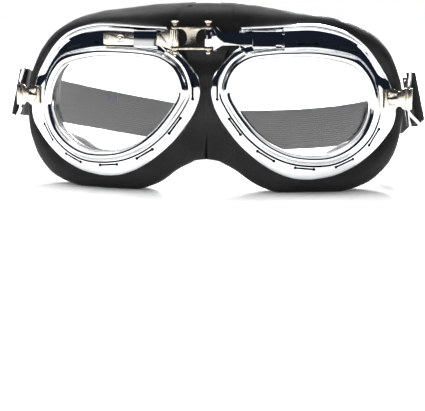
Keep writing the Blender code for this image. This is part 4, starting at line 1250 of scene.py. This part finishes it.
RIB = 1.2
CROSS = []
_h = STRAP_W / 2
for k in range(81):
    CROSS.append(-_h + STRAP_W * k / 80)


def web_ring(place, flip=1.0):
    """Points round a ribbed web section; place(off, dz) maps into space."""
    t = STRAP_T / 2
    outer, inner = [], []
    for dz in CROSS:
        edge = min(1.0, (_h - abs(dz)) / 0.7)
        th = t * (0.45 + 0.55 * math.sqrt(max(0.0, 1 - (1 - edge) ** 2)))
        rib = 0.13 * (0.5 - 0.5 * math.cos(2 * math.pi * dz / RIB))
        outer.append(place((th - rib) * flip, dz))
        inner.append(place(-(th - rib) * flip, dz))
    return outer + inner[::-1]


def make_strap(side, tag):
    rows, us = [], []
    s = TAIL_LEN
    tail = list(np.arange(TAIL_LEN, 2.0, -0.8))
    for s in tail:
        gap_in = 2 * FOLD_R - (2 * FOLD_R - STRAP_T - 0.5) * smooth(s, 1.0, 11.0)
        end = smooth(TAIL_LEN - s, 0.0, 0.8)
        rows.append(web_ring(lambda o, dz: on_strap(s, -gap_in + o * (0.55 + 0.45 * end),
                                                    dz * (0.985 + 0.015 * end), side), -1.0))
        us.append(-s)
    for k in range(0, 21):
        a = math.pi + k * math.pi / 20

        def turn(o, dz, a=a):
            r = FOLD_R + o
            return shear(side, (side * (BAR[0] + r * math.cos(a)), BAR[1] + r * math.sin(a),
                                STRAP_Z0 + dz), STRAP_LEAN)
        rows.append(web_ring(turn, 1.0))
        us.append(k * FOLD_R * math.pi / 20)
    base = FOLD_R * math.pi
    main = list(np.arange(0.9, STRAP_L - 0.3, 0.95))
    if side > 0:
        main += list(np.arange(STRAP_L - 0.3, STRAP_L + 12.0, 0.95))
    else:
        main.append(STRAP_L - 0.15)
    for s in main:
        # the right half's end runs on behind the left half, where it is sewn
        dip = 0.0 if side < 0 else 1.62 * smooth(s, STRAP_L - 4.5, STRAP_L - 0.6)
        wav = 0.10 * math.sin(s / 4.1 + side) + 0.08 * math.sin(s / 1.9)
        rows.append(web_ring(lambda o, dz: on_strap(s, o - dip, dz * (1 + wav / _h * 0.5), side), 1.0))
        us.append(base + s)
    m = len(rows[0])
    vv = CROSS + CROSS[::-1]
    ob = piece("strap_web_" + tag, skin(rows, closed_u=False, uv=lambda i, j: (us[i], vv[j])), WEB,
               tag + "_loop", ("strap_" + tag,), angle=75, weld=0)
    # sewn rows: a hem at the tail's end and, on the left, the tail sewn down
    pairs = []
    seams = [28.5, 30.2] if side > 0 else [26.0, 28.2, 30.4]
    for s0 in seams:
        g_in = 2 * FOLD_R - (2 * FOLD_R - STRAP_T - 0.5) * smooth(s0, 1.0, 11.0)
        z = -10.4
        while z < 9.5:
            off = -g_in - STRAP_T / 2 + 0.02
            a = on_strap(s0, off, z, side)
            b = on_strap(s0, off, z + 1.7, side)
            o = np.array(on_strap(s0, off - 1, z, side)) - np.array(a)
            pairs.append((a, b, o))
            if side < 0:
                a = on_strap(s0, STRAP_T / 2 - 0.02, z, side)
                b = on_strap(s0, STRAP_T / 2 - 0.02, z + 1.7, side)
                pairs.append((a, b, -o))
            z += 2.4
    if side < 0:
        for s0 in (STRAP_L - 1.6, STRAP_L - 3.6):
            z = -10.8
            while z < 9.8:
                a = on_strap(s0, STRAP_T / 2 - 0.02, z, side)
                b = on_strap(s0, STRAP_T / 2 - 0.02, z + 1.5, side)
                o = np.array(on_strap(s0, STRAP_T / 2 + 1, z, side)) - np.array(a)
                pairs.append((a, b, o))
                z += 2.1
    piece("strap_thread_" + tag, stitches(pairs, 0.15, 0.10), THREAD, tag + "_loop", (),
          angle=80)


def make_slider():
    s0, half = SLIDER_Y, 6.0
    inn = -(STRAP_T / 2 + 0.5 + STRAP_T + 0.45)
    out = STRAP_T / 2 + 0.5
    h0, h1 = STRAP_W / 2 + 0.45, STRAP_W / 2 + 1.75
    fn = lambda s, z, o: on_strap(s0 + s, o, z, 1)
    outer = [tuple(q) for q in corner_round([(-half, -h1), (-half, h1), (half, h1), (half, -h1)], 1.6, 6)]
    cuts = [prism([(-half - 2, -h0), (-half - 2, h0), (half + 2, h0), (half + 2, -h0)], fn, inn, out)]
    for a, b in ((-half + 1.3, -0.7), (0.7, half - 1.3)):
        win = [tuple(q) for q in corner_round([(a, -h0), (a, h0), (b, h0), (b, -h0)], 0.5, 3)]
        cuts.append(prism(win, fn, -0.5, out + 4))
    cuts.append(prism([(-half + 4.2, -h0), (-half + 4.2, h0), (half + 2, h0), (half + 2, -h0)],
                      fn, inn - 4, -0.5))
    piece("strap_slider_ladder", prism(outer, fn, inn - 1.0, out + 0.8), STEEL, "slider",
          ("strap_slider",), bevel=0.22, cuts=cuts, angle=35, seg=3)


def make_tag():
    s0 = 85.0
    rows = []
    nu, nv = 26, 22
    zs = np.linspace(5.5, 11.4, nv)
    for i in range(nu):
        s = s0 - 3 + 6 * i / (nu - 1)
        e = min(i, nu - 1 - i) / (nu - 1) * 6
        hem = 0.12 if e < 0.8 else 0.0
        lo, hi = STRAP_T / 2 + 0.28, STRAP_T / 2 + 0.56 + hem
        if i in (0, nu - 1):
            hi = lo + 0.12
        top, bot = [], []
        for z in zs:
            bow = 0.06 * math.sin(math.pi * (z - 5.5) / 5.9)
            top.append(on_strap(s, -(hi + bow), z, -1))
            bot.append(on_strap(s, -lo, z, -1))
        rows.append(top + bot[::-1])
    piece("strap_tag_label", skin(rows, closed_u=False), TAG, "left_loop", ("strap_tag",),
          angle=60)
    pairs = []
    for s in (s0 - 2.5, s0 + 2.5):
        z = 6.0
        while z < 10.4:
            a = on_strap(s, -(STRAP_T / 2 + 0.70), z, -1)
            b = on_strap(s, -(STRAP_T / 2 + 0.70), z + 0.9, -1)
            o = np.array(on_strap(s, -3, z, -1)) - np.array(on_strap(s, 0, z, -1))
            pairs.append((a, b, o))
            z += 1.3
    piece("strap_tag_thread", stitches(pairs, 0.10, 0.06), THREAD, "left_loop", (), angle=80)


for side, tag in ((-1, "left"), (1, "right")):
    make_frame(side, tag)
    make_lens(side, tag)
    make_seals(side, tag)
    make_mask(side, tag)
    make_roll(side, tag)
    make_arm(side, tag)
    make_guide(side, tag)
    make_bracket(side, tag)
    make_loop(side, tag)
    make_strap(side, tag)
make_nose()
make_link()
make_pin(PIN_X_L, "left")
make_pin(PIN_X_R, "right")
make_slider()
make_tag()

# ------------------------------------------------------------ stage and light
sc = bpy.context.scene
me = bpy.data.meshes.new("floor")
me.from_pydata([(-0.95, -0.85, -0.0002), (0.95, -0.85, -0.0002), (1.6, 3.2, -0.0002), (-1.6, 3.2, -0.0002)], [],
               [(0, 1, 2, 3)])
floor = bpy.data.objects.new("floor", me)
bpy.context.collection.objects.link(floor)
fm = Mat("floor_pale", (0.93, 0.93, 0.925), 0.55, 0.0, Specular_IOR_Level=0.25,
         Emission_Color=(1, 1, 1, 1), Emission_Strength=1.0)
fd = fm.node("VectorMath", operation="LENGTH")
fm.link(fm.vec((1, 1, 0)), fd.inputs[0])
# painted light: besides being lit, the floor glows, weakly (0.10) near the goggles and up to 0.40 from about
# 0.9 m out, so the far floor turns white
glow = fm.remap(fd.outputs["Value"], 0.12, 0.9, 0.10, 0.40)
fm.link(fm.colour(glow, (0.0, 0.0, 0.0), (1.0, 1.0, 1.0)), fm.b.inputs["Emission Color"])
fm.rough(fm.remap(fm.noise(fm.vec(), 6, 3), 0.3, 0.7, 0.5, 0.62))
floor.data.materials.append(fm.m)

world = bpy.data.worlds.new("studio")
sc.world = world
world.use_nodes = True
nt = world.node_tree
bg = nt.nodes["Background"]


def wnode(kind, **kw):
    n = nt.nodes.new("ShaderNode" + kind)
    for k, v in kw.items():
        setattr(n, k, v)
    return n


def wstep(sock, a, b, c=0.0, d=1.0):
    n = wnode("MapRange", interpolation_type="SMOOTHSTEP", clamp=True)
    for k, v in zip(("From Min", "From Max", "To Min", "To Max"), (a, b, c, d)):
        n.inputs[k].default_value = v
    nt.links.new(sock, n.inputs["Value"])
    return n.outputs["Result"]


def wmath(op, a, b):
    n = wnode("Math", operation=op)
    for i, v in enumerate((a, b)):
        if isinstance(v, (int, float)):
            n.inputs[i].default_value = v
        else:
            nt.links.new(v, n.inputs[i])
    return n.outputs[0]


tc = wnode("TexCoord")
sep = wnode("SeparateXYZ")
nt.links.new(tc.outputs["Generated"], sep.inputs[0])
X, Y, Z = sep.outputs
front = wmath("MAXIMUM", wmath("MULTIPLY", Y, -1.0), 0.02)
turn = wmath("DIVIDE", X, front)              # tangent of the bearing from straight ahead
ahead = wstep(front, 0.10, 0.34)
wide = wstep(wmath("MULTIPLY", Y, -1.0), -0.80, -0.50)
low = wmath("MULTIPLY", wstep(turn, -0.32, -0.20), wstep(turn, 1.9, 1.3))
high = wstep(Z, 0.045, 0.13)
aside = wmath("MULTIPLY", wstep(wmath("ABSOLUTE", turn, 0.0), 0.85, 1.15), wstep(Z, -0.10, -0.05))
under = wstep(Z, 0.74, 0.60)
dark = wmath("MULTIPLY", wmath("MAXIMUM", wmath("MULTIPLY", low, ahead),
                               wmath("MULTIPLY", wmath("MAXIMUM", high, aside), wide)),
             under)
mixc = wnode("Mix", data_type="RGBA")
cin = [s for s in mixc.inputs if s.type == "RGBA"]
cin[0].default_value = (0.93, 0.935, 0.945, 1)
cin[1].default_value = (0.010, 0.014, 0.024, 1)
nt.links.new(dark, [s for s in mixc.inputs if s.type == "VALUE"][0])
lp = wnode("LightPath")
seen = wmath("MAXIMUM", lp.outputs["Is Camera Ray"], lp.outputs["Is Transmission Ray"])
mix2 = wnode("Mix", data_type="RGBA")
cin2 = [s for s in mix2.inputs if s.type == "RGBA"]
nt.links.new([s for s in mixc.outputs if s.type == "RGBA"][0], cin2[0])
cin2[1].default_value = (1.0, 1.0, 1.0, 1)
nt.links.new(seen, [s for s in mix2.inputs if s.type == "VALUE"][0])
nt.links.new([s for s in mix2.outputs if s.type == "RGBA"][0], bg.inputs["Color"])
bg.inputs["Strength"].default_value = 1.0


def area(name, loc, target, size, power, colour=(1, 1, 1)):
    li = bpy.data.lights.new(name, "AREA")
    li.shape = "RECTANGLE"
    li.size, li.size_y = size
    li.energy = power
    li.color = colour
    ob = bpy.data.objects.new(name, li)
    ob.location = loc
    ob.rotation_euler = (Vector(target) - Vector(loc)).to_track_quat("-Z", "Y").to_euler()
    bpy.context.collection.objects.link(ob)
    return ob


area("top_box", (-0.15, 0.10, 0.95), (0, 0, 0.05), (0.9, 0.7), 9.0)
area("rim_box", (0.14, 0.80, 0.50), (0.04, -0.01, 0.08), (0.30, 0.30), 26.0)
area("left_box", (-0.9, -0.35, 0.45), (0, 0, 0.05), (0.5, 0.7), 2.5).visible_glossy = False

# ------------------------------------------------------------------- camera
ALPHA = math.radians(7.47)
F_PX = 1027.7
cam_data = bpy.data.cameras.new("camera")
cam = bpy.data.objects.new("camera", cam_data)
bpy.context.collection.objects.link(cam)
cam_data.sensor_fit = "HORIZONTAL"
cam_data.sensor_width = 36.0
cam_data.lens = F_PX / 425.0 * 36.0
cam_data.clip_start = 0.01
f0 = Vector((-math.sin(ALPHA), math.cos(ALPHA), 0))
r0 = Vector((math.cos(ALPHA), math.sin(ALPHA), 0))
cam.location = Vector((math.sin(ALPHA) * 0.5, -math.cos(ALPHA) * 0.5 + Y_SHIFT * MM, 0.097))
aim = f0 + r0 * 0.00695 - Vector((0, 0, 1)) * 0.2070
cam.rotation_euler = aim.to_track_quat("-Z", "Y").to_euler()
sc.camera = cam
sc.view_settings.view_transform = "Standard"
sc.view_settings.look = "None"
